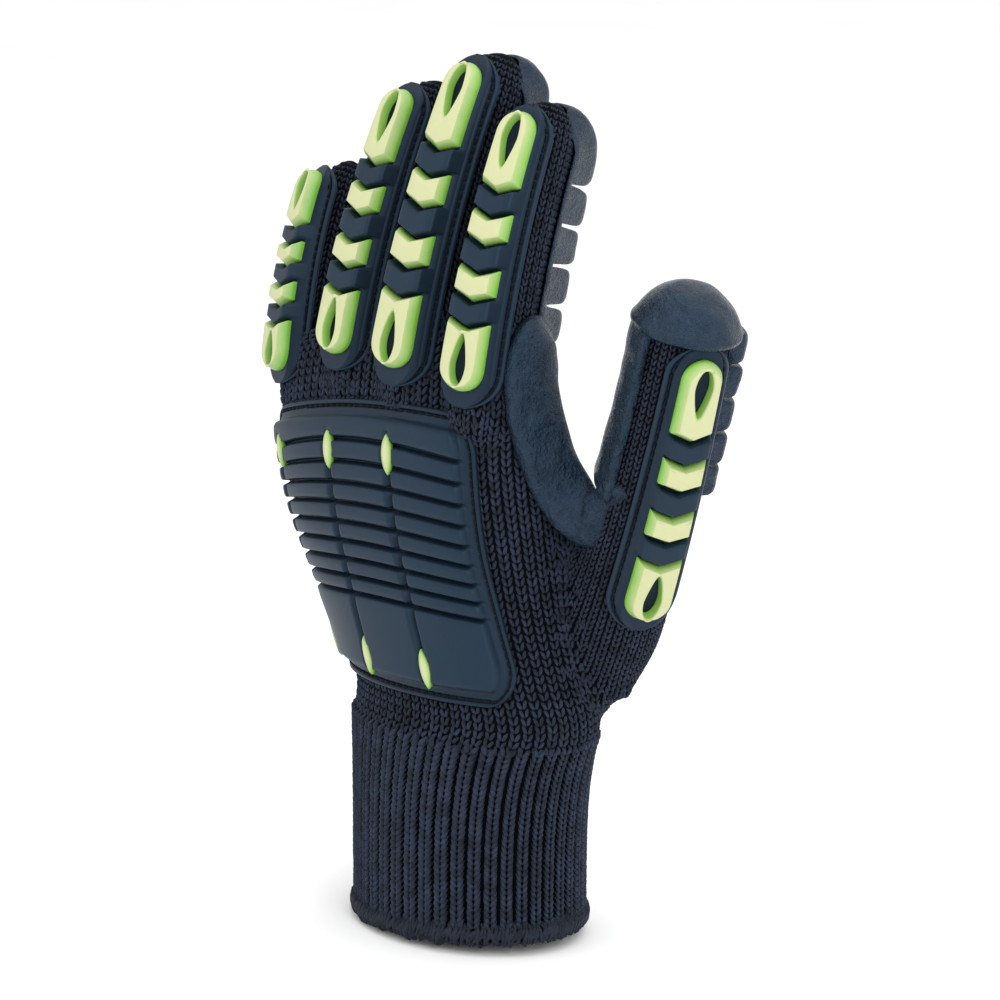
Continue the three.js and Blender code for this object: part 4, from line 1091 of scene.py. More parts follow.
def loop_shape():
    """One loop of thread, from the hem's inside over its edge and up its outside."""
    turns = np.radians(np.linspace(-100, 110, 9))
    path = [(0.22 * math.sin(2 * t), 0.5 * math.sin(t), 0.5 * math.cos(t) - 0.5) for t in turns]
    return pattern("one_loop", [strand(path, [0.1] + [0.17] * 7 + [0.1], 6)], hem_yarn)


def hem_loops():
    wander = np.random.default_rng(3)
    angles = np.repeat(round_turns(LOOPS), 2)
    angles = angles + wander.normal(0, 0.006, angles.shape)
    middle = HEM_HEIGHT / 2
    here = np.array([cuff_point(middle + wander.normal(0, 0.25), a, 0.9) for a in angles])
    around = around_cuff(0 * angles, angles)
    lean = unit(around) * wander.normal(0, 0.35, (len(angles), 1))
    seats = here, out_of_cuff(around, here), unit(np.array((0, 0, 1)) + lean)
    return seats, wander.uniform(0.85, 1.1, len(angles))


settle(hem_roll(), "knit", "cuff_hem")
loop_tree = copies_tree("hem loops", loop_shape(), hem_yarn)
copies("hem_loops", loop_tree, *hem_loops(), LOOP_SHAPE, 0.1)

# %% [markdown]
# ## Rubber strips
# Each strip is one moulding: a thin flange that bends round the digit, a raised rim, a
# groove for the sewing thread, and dark chevron blocks along the middle. The strip's rings
# of points follow the chevrons, so that their edges stay crisp. The lime blocks are lofted
# from loops: the outline, the wall, the crown and the drop-shaped eye.

# %% A strip's base
DARK_SPANS = ((HEEL[1], CHEVRONS[0][0]), (CHEVRONS[0][1], CHEVRONS[1][0]), (CHEVRONS[1][1], TIP[0]))
STATIONS, DARK_SLOPE, BASE_FLOOR = 110, 0.8, FLANGE + 0.15
# way in from the flange's edge, height and painted tone, the painted light and shade: the edge, the
# rim and the sewing groove
RIM_ROWS = (
    (0, 0.25, 0.1),
    (0, 0.8 * FLANGE, 0.5),
    (0.25, 1.45, 0.9),
    (0.9, 1.6, 0.95),
    (1.35, 1.35, 0.5),
    (1.6, 0.85, 0.05),
    (2.2, 0.85, 0.05),
    (2.5, 1.25, 0.45),
)


def strip_stations(strip):
    """Places along the strip: fine at the chevrons' edges, with each place's height."""
    q = set(np.linspace(strip.foot, strip.top, STATIONS).round(3))
    for share in (0.001, 0.003, 0.007, 0.013, 0.02, 0.03):
        q |= {round(strip.at(share), 3), round(strip.at(1 - share), 3)}
    spans = [(strip.at(a) + GAP, strip.at(b) - GAP) for a, b in DARK_SPANS]
    wide = DARK_SLOPE + 0.3
    for a, b in spans:
        q = {k for k in q if not (a - 0.5 < k < a + wide or b - wide < k < b + 0.5)}
        for step in (0, 0.15, DARK_SLOPE * 0.75, DARK_SLOPE):
            q |= {a + step, b - step}
    q = np.array(sorted(q))
    raised = np.zeros_like(q)
    for a, b in spans:
        edge = np.clip(np.minimum(q - a, b - q) / DARK_SLOPE, 0, 1)
        raised = np.maximum(raised, np.sin(edge * math.pi / 2))
    return q, raised


def strip_base(strip):
    q, raised = strip_stations(strip)
    digit, flange = strip.digit, strip.flange(q)
    block = np.minimum(strip.half(q, BLOCK_WIDTH), flange * 0.72)
    top = BASE_FLOOR + (DARK_HEIGHT - BASE_FLOOR) * raised
    fade = np.clip(np.minimum(q - strip.foot, strip.top - q) / 8, 0, 1)
    rim = np.clip(flange / 3, 0.2, 1)
    # place across, height, whether it wraps round the digit, painted tone for painted light and
    # shade
    half = [(flange - inset * rim, height, True, painted_tone) for inset, height, painted_tone in RIM_ROWS]
    half += [
        (block + 0.35, 1.3, True, 0.5),
        (block + 0.05, 1.35, True, 0.35),
        (block - 0.1, np.maximum(BASE_FLOOR, top - 0.9), False, 0.5),
        (block - 0.45, np.maximum(BASE_FLOOR, top - 0.25), False, 0.85),
        (block - 1.0, top, False, 0.75),
        (block * 0.5, top, False, 0.7),
    ]
    rows = [(-1, *row) for row in half] + [(0, 0 * q, top, False, 0.7)]
    rows += [(1, *row) for row in half[::-1]]
    lines, painted_tones = [], []
    for side, across, height, wrap, painted_tone in rows:
        x = across * side
        lag = CHEVRON_DEPTH * fade * np.clip(1 - np.abs(x) / np.maximum(block, 0.1), 0, 1)
        at = digit.wrapped if wrap else digit.flat
        lines.append(at("back", q - (0 if wrap else lag), x, height))
        # Low parts between the dark blocks keep 0.6 of their tone: painted shade.
        painted_tones.append(np.full(len(q), painted_tone) * np.where(wrap | (raised > 0.3), 1, 0.6))
    # The three lines along the digit under the strip get tone 0: painted shade.
    s = digit.place("back", q)
    for side in (-1, 0, 1):
        lines.append(digit.point(s, -side * 0.5 * flange / digit.radius(s), 0.3))
        painted_tones.append(np.zeros(len(q)))
    body = closed_loft(np.stack(lines, axis=1))
    piece = piece_from(f"strip_{digit.name}", *body, slate_rubber)
    return with_painted_light(piece, np.concatenate((np.stack(painted_tones, axis=1).ravel(), (0.3, 0.3))))


# %% Lime blocks from loops
BLOCK_FLOOR, EYE_SHARE, EYE_PLACE, EYE_SPREAD = FLANGE + 0.3, 0.72, 0.62, 1.12
EYE_TAPER, EYE_LONG, EYE_SHORT = 0.4, 0.6, 0.42
SOFT_EDGE, SOFT_ANGLE = 0.18, 28


def ray_outline(corners, centre, angles):
    """Where rays from the centre meet a polygon's sides."""
    corners = np.array(corners, float) - centre
    nexts = np.roll(corners, -1, axis=0)
    found = []
    for angle in angles:
        way = np.array((math.sin(angle), math.cos(angle)))
        best = 0
        for a, b in zip(corners, nexts):
            edge = b - a
            det = way[0] * -edge[1] + way[1] * edge[0]
            if abs(det) < 1e-9:
                continue
            t = (a[0] * -edge[1] + a[1] * edge[0]) / det
            u = (way[0] * a[1] - way[1] * a[0]) / det
            if -1e-6 <= u <= 1 + 1e-6:
                best = max(best, t)
        found.append(way * best + centre)
    return np.array(found)


def block_outline(strip, foot, top, round_foot, round_top):
    """Corners of a lime block: its ends are chevrons or round."""
    corners = []
    for end, way, rounded, long in ((foot, 1, round_foot, 0.9), (top, -1, round_top, 0.95)):
        wide = float(strip.half(end + (5 * way if rounded else 0), BLOCK_WIDTH)) - 0.1
        if rounded:
            for turn in np.radians(np.linspace(-90, 90, 13)) * way:
                q = end + way * wide * long * (1 - math.cos(turn))
                corners.append((wide * math.sin(turn), q))
        else:
            corners += [(-way * wide, end), (0, end - CHEVRON_DEPTH), (way * wide, end)]
    return corners


def block_loops(strip, start, end, round_foot, round_top):
    """Loops of a block, each with its height and painted tone: painted shade low down, painted
    light on the crown.
    """
    foot, top = strip.at(start) + GAP, strip.at(end) - GAP
    corners = block_outline(strip, foot, top, round_foot, round_top)
    long = round_foot or round_top
    way = 1 if round_foot else -1
    chevron_middle = np.array((0, (foot + top - CHEVRON_DEPTH) / 2))
    eye_length = min(EYE_LENGTH, EYE_SHARE * (top - foot - CHEVRON_DEPTH))
    centre = chevron_middle
    if long:
        centre = np.array((0, (foot if round_foot else top) + way * EYE_PLACE * eye_length))
    angles = set(round_turns(40).round(6))
    for x, q in corners:
        if not long or abs(x) < 1e-6 or q in (foot, top):
            angle = math.atan2(x - centre[0], q - centre[1]) % (2 * math.pi)
            angles = {a for a in angles if abs(a - angle) > 0.06} | {angle}
    angles = np.array(sorted(angles))
    outline = ray_outline(corners, centre, angles)
    size = np.array((float(strip.half(centre[1], BLOCK_WIDTH)), (top - foot) / 2))
    middle = np.array((0, (foot + top) / 2)) if long else chevron_middle

    def inset(d):
        return middle + (outline - middle) * (size - d) / size

    # Each loop's last value is its painted tone: painted shade at the block's foot and down the
    # eye's walls, painted light on the crown.
    loops = [
        (outline, BLOCK_FLOOR - 0.2, 0.0),
        (outline, BLOCK_FLOOR + 0.9, 0.0),
        (inset(0.15), BLOCK_FLOOR + 1.3, 0.1),
        (inset(1.25 if long else 1.1), BLOCK_HEIGHT - 0.12, 0.55),
        (inset(1.5 if long else 1.35), BLOCK_HEIGHT, 1.0),
    ]
    if not long:
        crown = chevron_middle + (outline - chevron_middle) * 0.35
        return loops + [(crown, BLOCK_HEIGHT + 0.12, 1.0)]
    cosine = way * np.cos(angles)
    x = np.sin(angles) * EYE_WIDTH / 2 * (1 - EYE_TAPER * np.clip(cosine, 0, 1))
    y = np.where(cosine > 0, EYE_LONG, EYE_SHORT) * np.cos(angles) * eye_length
    eye = np.stack((x, y), axis=1) * EYE_SPREAD
    return loops + [
        (centre + eye * 1.15, BLOCK_HEIGHT - 0.02, 0.95),
        (centre + eye * 1.03, BLOCK_HEIGHT - 0.4, 0.3),
        (centre + eye * 0.97, BLOCK_FLOOR + 0.5, 0.0),
        (centre + eye * 0.94, BLOCK_FLOOR + 0.3, 0.0),
    ]


def lime_blocks(strip):
    bodies, painted_tones, parts = [], [], []
    for span, ends in (
        (HEEL, (True, False)),
        (CHEVRONS[0], (False, False)),
        (CHEVRONS[1], (False, False)),
        (TIP, (False, True)),
    ):
        rings = []
        for loop, height, painted_tone in block_loops(strip, *span, *ends):
            rings.append(strip.digit.flat("back", loop[:, 1], loop[:, 0], height))
            painted_tones += [painted_tone] * len(loop)
        painted_tones += [0.0, painted_tone]
        bodies.append(closed_loft(rings))
        # An eye's floor is the base's dark rubber: the last ring's band and its fan.
        columns = len(rings[0])
        inside, foot = (len(rings) - 2) * columns, len(rings) * columns
        for link in bodies[-1][1]:
            parts.append(int(any(ends) and min(link) >= inside and foot not in link))
    name = f"lime_blocks_{strip.digit.name}"
    blocks = piece_from(name, *joined(bodies), lime_rubber, slate_rubber, parts=parts)
    bevel = with_painted_light(blocks, painted_tones).modifiers.new("soft edges", "BEVEL")
    bevel.width = SOFT_EDGE / 1000
    bevel.segments = 2
    bevel.limit_method = "ANGLE"
    bevel.angle_limit = math.radians(SOFT_ANGLE)
    return smoothed(baked(blocks))


for name, digit in digits.items():
    strip = Strip(digit)
    settle(strip_base(strip), "rubber", f"strip_base_{name}")
    nodes = [f"lime_{k}_{name}" for k in ("heel", "chevron_1", "chevron_2", "tip")]
    settle(lime_blocks(strip), "lime", *nodes)

# %% [markdown]
# ## Back plate
# The plate is one moulding over the back of the hand. A rim and a sewing groove run round
# it. Its body is raised and cut by cross grooves, so that it bends with the hand, and by
# three long grooves whose ends hold lens-shaped lime inserts. It is made as a height over a
# fine grid, with rows and columns placed where a groove's edge runs.

# %% The plate's height
# Heights of its foot, rim, sewing groove and skirt, and the ways in where those end.
PLATE_EDGE, RIM_TOP, SEAM_FLOOR, SKIRT_HEIGHT = 1.0, 1.65, 1.0, 1.45
RIM_END, SEAM_START, SEAM_END = 1.2, 1.6, 2.3
GROOVE_DIP, LENS_DIP, UNDERSIDE, OUTSIDE = 0.35, 1.5, 0.35, -9.0
# Where rows lie beside a cross groove and beside the plate's ends, and the rim's columns.
GROOVE_ROWS = (-1.1, -0.8, -0.5, -0.2, 0.0, 0.2, 0.5, 0.8, 1.1)
END_ROWS = (0.15, 0.4, 0.9, 1.25, 1.6, 1.95, 2.3, 3.2, 4.2, 5.0, 5.8)
RIM_COLUMNS = (0, 3, 6, 10, 13.5, 16.5, 20, 25, 32, 42, 50, 58, 66)


def cross_groove_places():
    first, last = PLATE_TOP - 0.705 * PLATE_LENGTH, PLATE_TOP - 0.165 * PLATE_LENGTH
    share = np.arange(CROSS_GROOVES) / (CROSS_GROOVES - 1)
    return first + (last - first) * share * (0.88 + 0.12 * share)


def on_plate(z, across, height):
    return over_hand(z, across * plate_narrow(z), height, 0.0)


def plate_edges(z):
    end = np.minimum(z - PLATE_FOOT, PLATE_TOP - z)
    inset = PLATE_CORNER * (1 - quarter_round(end / PLATE_CORNER))
    return PLATE_LEFT + inset, PLATE_RIGHT - inset


def groove_arch(x):
    return GROOVE_ARCH * (1 - ((x - PLATE_MIDDLE) / (PLATE_WIDTH / 2)) ** 2)


def lens_share(z, x):
    """1 in the middle of a lens-shaped recess, 0 at its edge, negative outside."""
    best = np.full(np.broadcast(z, x).shape, OUTSIDE)
    for place in LENS_PLACES:
        along = (z - place) / (LENS_LENGTH / 2)
        wide = np.maximum(0.05, 1 - along**2) * LENS_WIDTH / 2
        for groove in LONG_GROOVES:
            share = np.where(np.abs(along) < 1, 1 - np.abs(x - groove) / wide, OUTSIDE)
            best = np.maximum(best, share)
    return best


def plate_height(z, x, rim):
    """Height over the hand, and the painted light and shade, at z and x. rim is the way in from the
    edge.
    """
    up = PLATE_EDGE + (RIM_TOP - PLATE_EDGE) * smooth_step(rim / 0.35)
    down = RIM_TOP - (RIM_TOP - SEAM_FLOOR) * smooth_step((rim - RIM_END) / 0.3)
    sides = [rim < RIM_END, rim < SEAM_START, rim < SEAM_END]
    height = np.select(sides, [up, down, SEAM_FLOOR], SKIRT_HEIGHT)
    rise = smooth_step((rim - PLATE_FLANGE + 1.0) / 1.6)
    height = height + (PLATE_THICKNESS - SKIRT_HEIGHT) * rise * (rim > SEAM_END)
    # Painted light and shade: the sewing groove painted dark, the raised body painted paler.
    painted_tone = np.where((rim > 1.5) & (rim < 2.4), 0.1, 0.45 + 0.4 * rise)
    for place in cross_groove_places():
        away = z - groove_arch(x) - place
        cut = smooth_step(1 - np.abs(away) / (GROOVE_WIDTH * 0.8)) * rise
        height = height - GROOVE_DEPTH * cut - GROOVE_DIP * np.exp(-((away / 2.0) ** 2)) * rise
        # Each cross groove is darkened: painted shade.
        painted_tone = painted_tone - 0.5 * cut
    span = smooth_step((z - LENS_PLACES[1]) / 2) * smooth_step((LENS_PLACES[0] - z) / 2)
    for groove in LONG_GROOVES:
        cut = smooth_step(2.6 - np.abs(x - groove) / (GROOVE_WIDTH * 0.38)) * rise * span
        height = height - GROOVE_DEPTH * cut
        # Each long groove is darkened strongly: painted shade.
        painted_tone = painted_tone - 1.2 * cut
    recess = smooth_step((lens_share(z, x) + 0.25) / 0.3) * rise
    height = np.maximum(height - LENS_DIP * recess, 0.9)
    # The lens recesses are darkened: painted shade.
    return height, np.clip(painted_tone - 0.3 * recess, 0, 1)


def back_plate():
    rows = set(np.linspace(PLATE_FOOT, PLATE_TOP, 60).round(3))
    for place in cross_groove_places():
        rows = {r for r in rows if abs(r - place) > 1.4} | {place + k for k in GROOVE_ROWS}
    for end in END_ROWS:
        rows |= {PLATE_FOOT + end, PLATE_TOP - end}
    z = np.array(sorted(rows))[:, None]
    # Columns as shares from edge to edge, closest at the rim.
    rim = np.array(RIM_COLUMNS) / 1000
    shares = np.concatenate((rim, np.linspace(0.075, 0.925, 120), 1 - rim[::-1]))
    left, right = plate_edges(z)
    x = left + (right - left) * shares
    # The rows bend with the arched grooves, but not at the plate's two ends.
    z = z + groove_arch(x) * smooth_step(np.minimum(z - PLATE_FOOT, PLATE_TOP - z) / 9)
    way_in = np.minimum(np.minimum(x - left, right - x), np.minimum(z - PLATE_FOOT, PLATE_TOP - z))
    height, painted_tone = plate_height(z, x, way_in)
    height[way_in < 0.01] = 0.8
    piece = sheet("plate", on_plate(z, x, height), on_plate(z, x, UNDERSIDE), slate_rubber)
    return with_painted_light(piece, np.concatenate((painted_tone.ravel(), np.zeros(painted_tone.size))))


settle(back_plate(), "rubber", "back_plate")

# %% Lime inserts
# share of the lens, height and painted tone of each ring: painted shade at the foot, painted light
# on the crown
INSERT_RINGS = ((1, 2.6, 0.0), (1, 3.7, 0.1), (0.86, 4.25, 0.4), (0.5, 4.55, 0.7), (0.2, 4.65, 0.9))


def lime_insert(place, groove, name):
    turns = round_turns(28)
    rings, painted_tones = [], []
    for size, height, painted_tone in INSERT_RINGS:
        z = place + np.cos(turns) * LENS_LENGTH / 2 * size
        x = groove + signed_power(np.sin(turns), 1.5) * LENS_WIDTH / 2 * size
        rings.append(on_plate(z[:, None], x[:, None], height)[:, 0])
        painted_tones += [painted_tone] * len(turns)
    return with_painted_light(piece_from(name, *closed_loft(rings), lime_rubber), painted_tones + [0, 0.9])


for k, place in enumerate(LENS_PLACES):
    for number, groove in enumerate(LONG_GROOVES, 1 + 3 * k):
        settle(lime_insert(place, groove, f"insert_{number}"), "lime", f"lime_insert_{number}")

# %% [markdown]
# ## Sewing
# A row of short stitches in dark thread holds each strip and the plate to the knit. They lie
# in the groove that runs inside the raised rim.

# %% Sewing thread
SEAM_PITCH, SEAM_INSET = 2.6, 1.9
SEAM_SHAPE, SEAM_UNEVEN = (3.2, SEAM_PITCH, 2.6), 0.08
SEAM_PATH = ((0, -0.42, -0.3), (0, -0.36, 0.05), (0, 0, 0.14), (0, 0.36, 0.05), (0, 0.42, -0.3))
SEAM_RADII = (0.06, 0.1, 0.11, 0.1, 0.06)


def seats_along(low, high):
    """Places at an even pitch along a path, with the ways out and along at each."""
    length = lengths(low)
    want = np.arange(SEAM_PITCH / 2, length[-1], SEAM_PITCH)

    def at(values, ahead=0.0):
        return np.stack([np.interp(want + ahead, length, v) for v in values.T], axis=1)

    return at(low), unit(at(unit(high - low))), unit(at(low, 0.3) - at(low) + 1e-9)


def run_together(runs):
    return [np.concatenate(parts) for parts in zip(*runs)]


def strip_seam(strip):
    """The groove's middle, up one side of the strip and down the other."""
    q = np.linspace(strip.foot + 3, strip.top - 3, 120)
    flange = strip.flange(q)
    across = flange - SEAM_INSET * np.clip(flange / 3, 0.2, 1)
    wrapped = strip.digit.wrapped
    return run_together(
        seats_along(wrapped("back", q, x, 0.95), wrapped("back", q, x, 2.0))
        for x in (-across, across)
    )


def plate_seam():
    ends = PLATE_FOOT + SEAM_INSET, PLATE_TOP - SEAM_INSET
    z = np.linspace(*ends, 90)
    left, right = plate_edges(z)
    paths = [
        (z, np.minimum(left + SEAM_INSET, PLATE_MIDDLE)),
        (z, np.maximum(right - SEAM_INSET, PLATE_MIDDLE)),
    ]
    for end in ends:
        left, right = plate_edges(end)
        paths.append((np.full(60, end), np.linspace(left + SEAM_INSET, right - SEAM_INSET, 60)))
    return run_together(
        seats_along(*[on_plate(z[:, None], x[:, None], h)[:, 0] for h in (1.1, 2.1)])
        for z, x in paths
    )


seam_stitch = pattern("one_seam_stitch", [strand(SEAM_PATH, SEAM_RADII)], sewing_thread)
seam_tree = copies_tree("sewing stitches", seam_stitch, sewing_thread)
seams = {f"seam_{name}": strip_seam(Strip(digit)) for name, digit in digits.items()}
for name, seats in {**seams, "seam_plate": plate_seam()}.items():
    copies(name, seam_tree, seats, np.ones(len(seats[0])), SEAM_SHAPE, SEAM_UNEVEN)

# %% [markdown]
# ## Coated foam
# On the palm side, blocks of foam lie under the dip, which runs over them as one skin and
# rounds every edge. Each piece is a height over the knit on a fine grid. The foot of a
# block falls steeply into the groove beside it, and slow noise pushes the skin about.

# %% Heights of the blocks
FOAM_FILL, FOAM_UNDERSIDE = 0.95, 0.3


def pillow(u, power=5.0):
    """A block's section: 1 in its middle, falling steeply to 0 at its ends, where u is 1."""
    return np.maximum(0, 1 - np.abs(u) ** power) ** (1 / power)


def row_pitch(foot, tip_foot):
    count = round((tip_foot - foot) / PAD_PITCH)
    return count, (tip_foot - foot) / count


def block_row(q, foot, top, tip):
    """Shares of height along a row of blocks with one long block at the tip."""
    tip_foot = top - tip
    pitch = row_pitch(foot, tip_foot)[1]
    within = (q - foot) / pitch
    share = pillow((within - np.floor(within) - 0.5) / (0.5 - 0.25 * PAD_GROOVE / pitch))
    if tip > 0:
        centre, half = (tip_foot + top) / 2, (top - tip_foot) / 2 - 0.3
        share = np.where(q > tip_foot, pillow((q - centre) / half, 4.0), share)
    return share


def fine_places(foot, top, step, ends, near):
    """Places from foot to top, closer together where a block ends."""
    places = set(np.arange(foot, top, step).round(3)) | {round(top, 3)}
    for end in ends:
        places |= {round(end + k, 3) for k in near if foot <= end + k <= top}
    return np.array(sorted(places))


def block_places(foot, top, tip):
    count, pitch = row_pitch(foot, top - tip)
    ends = [foot + k * pitch for k in range(count + 1)] + [top]
    return fine_places(foot, top, 0.84, ends, np.arange(-1.6, 1.7, 0.2))


def crumpled(points, size, depth):
    """Push points about by slow noise, as a foamed dip dries uneven."""
    moved = points.copy()
    for index in np.ndindex(points.shape[:-1]):
        moved[index] += np.array(noise.noise_vector(Vector(points[index] / size))) * depth
    return moved


def settle_foam(piece, node):
    settle(piece, "coating", node)


# %% Pads of the fingers
EDGE_COATING, CROWN_FALL, TIP_SLOPE = 0.7, 0.9, 0.75
PAD_COLUMNS = np.concatenate((np.linspace(0, 0.78, 5), np.linspace(0.8, 1.02, 10)))
PAD_COLUMNS = np.concatenate((-PAD_COLUMNS[::-1], PAD_COLUMNS[1:]))
PAD_RIM = np.array((1.0, 0.9))


def finger_pads(digit):
    foot, top = pad_foot(digit), digit.end("palm") - FINGER_PAD_TAIL
    tip = TIP_BLOCK * digit.reach
    q = block_places(foot, top, tip)[:, None]
    s, _, normal = digit.line_frame("palm", q)
    radius = digit.radius(s) * np.maximum(LEAST_CLOSING, digit.closing(s))
    ends = quarter_round(np.minimum(q - foot + 9, top - q) / 12)
    skirt = np.radians(SKIRT_ANGLE * (0.25 + 0.75 * ends)) * digit.radius(s)
    block = np.minimum(PAD_WIDTH / 2, skirt * 0.8)
    across = (-skirt * PAD_RIM, PAD_COLUMNS * block, skirt * PAD_RIM[::-1])
    across = np.clip(np.concatenate(across, axis=1), -skirt, skirt)
    thin = np.full(across.shape, COATING)
    thin[:, [0, -1]] = EDGE_COATING
    high = PAD_HEIGHT * min(1, digit.width) - 0.3
    fall = radius * (np.cos(across / radius) - 1) + COATING
    slope = np.clip((q - top + tip) / tip, 0, 1) ** 2
    target = high * (1 - TIP_SLOPE * slope) - CROWN_FALL * (across / block) ** 2
    share = block_row(q, foot, top, tip) * pillow(across / (block * 1.01), 6.0)
    lift = np.maximum(0, target - fall) * share
    outer = digit.wrapped("palm", q, across, thin) + normal * lift[..., None]
    inner = digit.wrapped("palm", q, across, FOAM_UNDERSIDE)
    piece = sheet(f"foam_pads_{digit.name}", crumpled(outer, 5.0, 0.35), inner, coating)
    settle_foam(piece, f"finger_pads_{digit.name}")


for name in ("index", "middle", "ring", "little"):
    finger_pads(digits[name])

# %% The thumb's coating and its cap
THUMB_EDGE, EDGE_SPAN, FLAT_COATING = 0.4, 7, COATING + 1
# first and last angle, and number, of the columns round the thumb
THUMB_COLUMNS = (
    (THUMB_BAND, THUMB_BAND + 8, 4),
    (THUMB_BAND + 14, THUMB_BAND_END - 6, 12),
    (THUMB_BAND_END, THUMB_BAND_END + 20, 8),
    (THUMB_BAND_END + 28, THUMB_OUTER - 20, 14),
    (THUMB_OUTER - 14, THUMB_OUTER, 8),
)
# way along from the cap's start, and height over the knit, of the rings of its rolled lip
CAP_LIP = ((0.2, 0.3), (-0.5, 0.5), (-1.1, 1.3), (-1.2, 2.2), (-0.7, 3.1), (0.3, 3.5))


def thumb_coating(digit):
    foot, top = THUMB_PAD_FOOT, digit.end("palm") - THUMB_PAD_TAIL
    q = block_places(foot, top, 0)[:, None]
    s = digit.place("palm", q)
    turn = np.concatenate([np.linspace(*row) for row in THUMB_COLUMNS])
    edge = np.minimum(turn - THUMB_BAND, THUMB_OUTER - turn)
    rolled = (FLAT_COATING - THUMB_EDGE) * quarter_round(edge / EDGE_SPAN)
    middle, half = (THUMB_BAND_END + THUMB_OUTER) / 2, (THUMB_OUTER - THUMB_BAND_END) / 2
    share = block_row(q, foot, top, 0) * pillow((turn - middle) / half)
    height = THUMB_EDGE + rolled * quarter_round((q - foot) / 2.5)
    height = height + (THUMB_PAD_SHARE * PAD_HEIGHT - FLAT_COATING) * share
    way = math.pi - np.radians(turn)
    outer = digit.point(s, way, height)
    inner = digit.point(s, way, FOAM_UNDERSIDE)
    piece = sheet("foam_pads_thumb", crumpled(outer, 6.0, 0.4), inner, coating)
    settle_foam(piece, "finger_pads_thumb")


def thumb_tip(digit):
    """The dip's cap on the thumb's tip, with a rolled lip round its edge."""
    start = digit.reach - CAP_REACH * TIP_ROUNDING
    straight = digit.reach - TIP_ROUNDING
    rings = []
    for angle in np.radians((80, 60, 45)):
        s = straight + (TIP_ROUNDING + FOAM_UNDERSIDE) * math.sin(angle)
        if s > start + 0.5:
            rings.append((s, FOAM_UNDERSIDE))
    rings += [(start + along, grow) for along, grow in CAP_LIP]
    whole = TIP_ROUNDING + CAP_THICKNESS
    first = math.asin((start + 1.4 - straight) / whole)
    for angle in np.linspace(first, math.radians(87), 18):
        rings.append((straight + whole * math.sin(angle), CAP_THICKNESS))
    rings = np.array([digit.point(s, round_turns(72), grow) for s, grow in rings])
    body = closed_loft(crumpled(rings, 6.0, 0.4))
    settle(outward(piece_from("thumb_tip_dip", *body, coating)), "coating", "thumb_cap")


thumb_coating(digits["thumb"])
thumb_tip(digits["thumb"])

# %% The roll round the fork
CROTCH_WIDTH, CROTCH_THICKNESS, ROLL_STEPS, ROLL_END, ROLL_SQUARE = 17, 3.6, 10, 5, 0.75
# across as a share of the hand's width, back and rise of its length, facing angle, width
CROTCH_PATH = np.array(
    [
        (0.35, -0.05, 1.04, 100, 0.3),
        (0.375, -0.085, 0.985, 85, 0.85),
        (0.385, -0.1, 0.88, 78, 1),
        (0.4, -0.075, 0.75, 75, 1),
        (0.425, -0.03, 0.635, 62, 0.95),
        (0.505, -0.01, 0.57, 52, 0.9),
        (0.6, 0.01, 0.614, 32, 0.9),
        (0.645, -0.015, 0.68, 22, 0.75),
    ]
)


def curve_rows(table, steps):
    """Rows between the rows of a table, on smooth curves through them."""
    padded = np.concatenate(([2 * table[0] - table[1]], table, [2 * table[-1] - table[-2]]))
    rows = []
    for k in range(len(table) - 1):
        a, b, c, d = padded[k : k + 4]
        for t in np.arange(steps) / steps:
            square, cube = 2 * a - 5 * b + 4 * c - d, 3 * b - a - 3 * c + d
            rows.append(0.5 * (2 * b + (c - a) * t + square * t**2 + cube * t**3))
    return np.array(rows + [table[-1]])


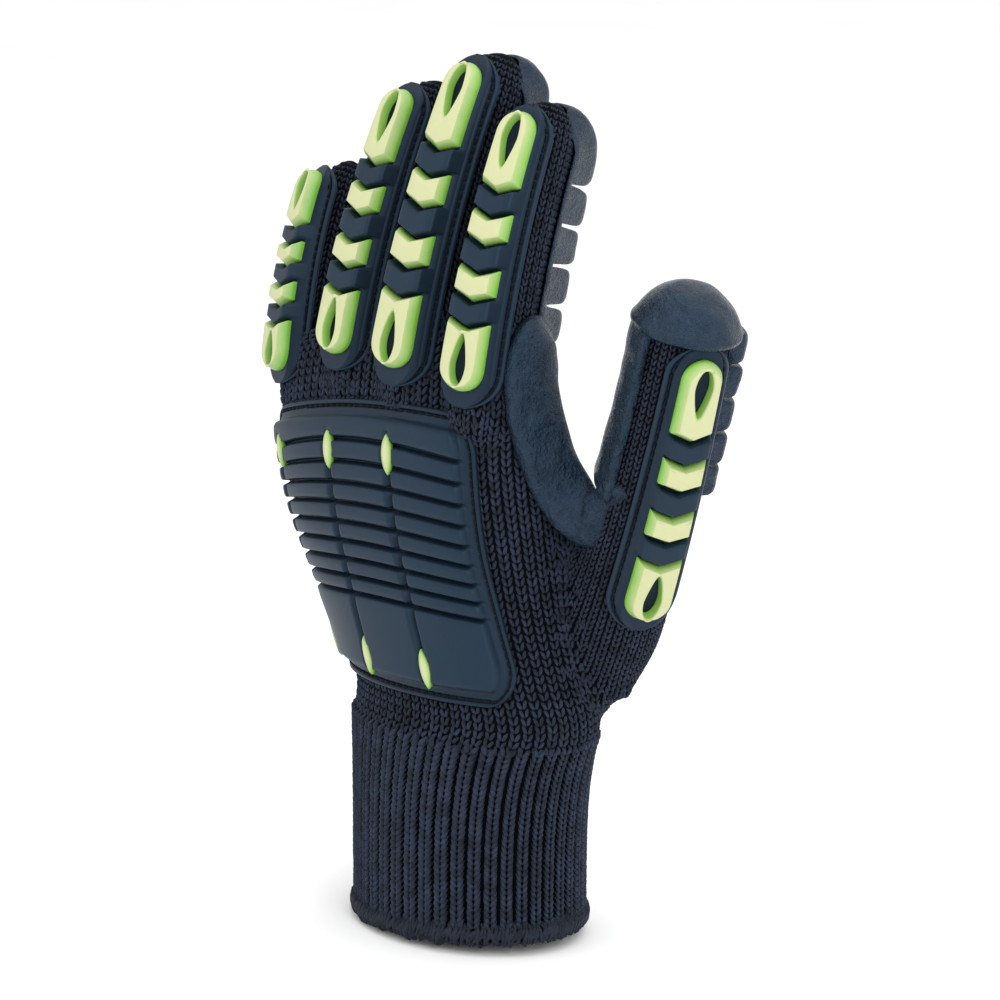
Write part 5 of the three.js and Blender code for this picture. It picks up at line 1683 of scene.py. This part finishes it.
def crotch_roll():
    across, back, rise, face, wide = curve_rows(CROTCH_PATH, ROLL_STEPS).T
    centre = np.stack(
        (across * HAND_WIDTH, back * HAND_LENGTH, CUFF_LENGTH + rise * HAND_LENGTH), axis=1
    )
    normal = np.stack((np.sin(np.radians(face)), -np.cos(np.radians(face)), 0 * face), axis=1)
    along = unit(np.gradient(centre, axis=0))
    out = unit(normal - along * np.sum(normal * along, axis=1, keepdims=True))
    side = np.cross(along, out)
    row = np.arange(len(wide))
    ends = quarter_round(np.maximum(0.02, np.minimum(row, row[::-1]) / ROLL_END))
    half = wide * CROTCH_WIDTH / 2 * ends
    high = CROTCH_THICKNESS * np.minimum(1, wide + 0.2) * (0.3 + 0.7 * ends)
    rings = []
    for turn in np.radians(np.concatenate((np.linspace(0, 180, 19), np.linspace(200, 340, 6)))):
        x = signed_power(math.cos(turn), ROLL_SQUARE)
        y = signed_power(math.sin(turn), ROLL_SQUARE)
        rings.append(centre + side * (half * x)[:, None] + out * (high * y)[:, None])
    body = closed_loft(crumpled(np.stack(rings, axis=1), 7.0, 0.7))
    settle_foam(outward(piece_from("crotch_roll", *body, coating)), "crotch_patch")


crotch_roll()

# %% The palm's pads
PALM_COLUMNS = ((0, 0.16, 12), (0.2, 0.8, 14), (0.84, 1, 12))
PALM_EDGE, PALM_FLANGE, PALM_SLOPE, PALM_UNDERSIDE = 0.5, 4, 9, 0.4


def palm_foam():
    pitch = (PALM_TOP - PALM_FOOT) / PALM_BLOCKS
    ends = [PALM_FOOT + k * pitch for k in range(PALM_BLOCKS + 1)]
    z = fine_places(PALM_FOOT, PALM_TOP, 0.9, ends, np.arange(-1.8, 1.9, 0.3))[:, None]
    share = (z - PALM_FOOT) / (PALM_TOP - PALM_FOOT)
    left, right = palm_edges(share)
    across = np.concatenate([np.linspace(*row) for row in PALM_COLUMNS])
    across = left + (right - left) * across
    rim = np.minimum(across - left, right - across)
    row = pillow(((share * PALM_BLOCKS) % 1 - 0.5) / (0.5 - 0.25 * PAD_GROOVE / pitch))
    block = pillow(np.clip(1 - (rim - PALM_FLANGE) / PALM_SLOPE, 0, 1), 4.0)
    low = PALM_EDGE + (COATING - 0.1) * quarter_round(rim / 2)
    height = low + (PALM_PAD_HEIGHT - COATING - 0.6) * row * block
    outer = over_hand(z, across, height, math.pi)
    inner = over_hand(z, across, PALM_UNDERSIDE, math.pi)
    settle_foam(sheet("palm_foam", crumpled(outer, 6.0, 0.5), inner, coating), "palm_pads")


palm_foam()

# %% [markdown]
# ## Clearing up
# The models of one stitch and one loop have done their work and go.

# %% Finish
for shape in [o for o in bpy.data.objects if o.name.startswith("one_")]:
    bpy.data.objects.remove(shape)
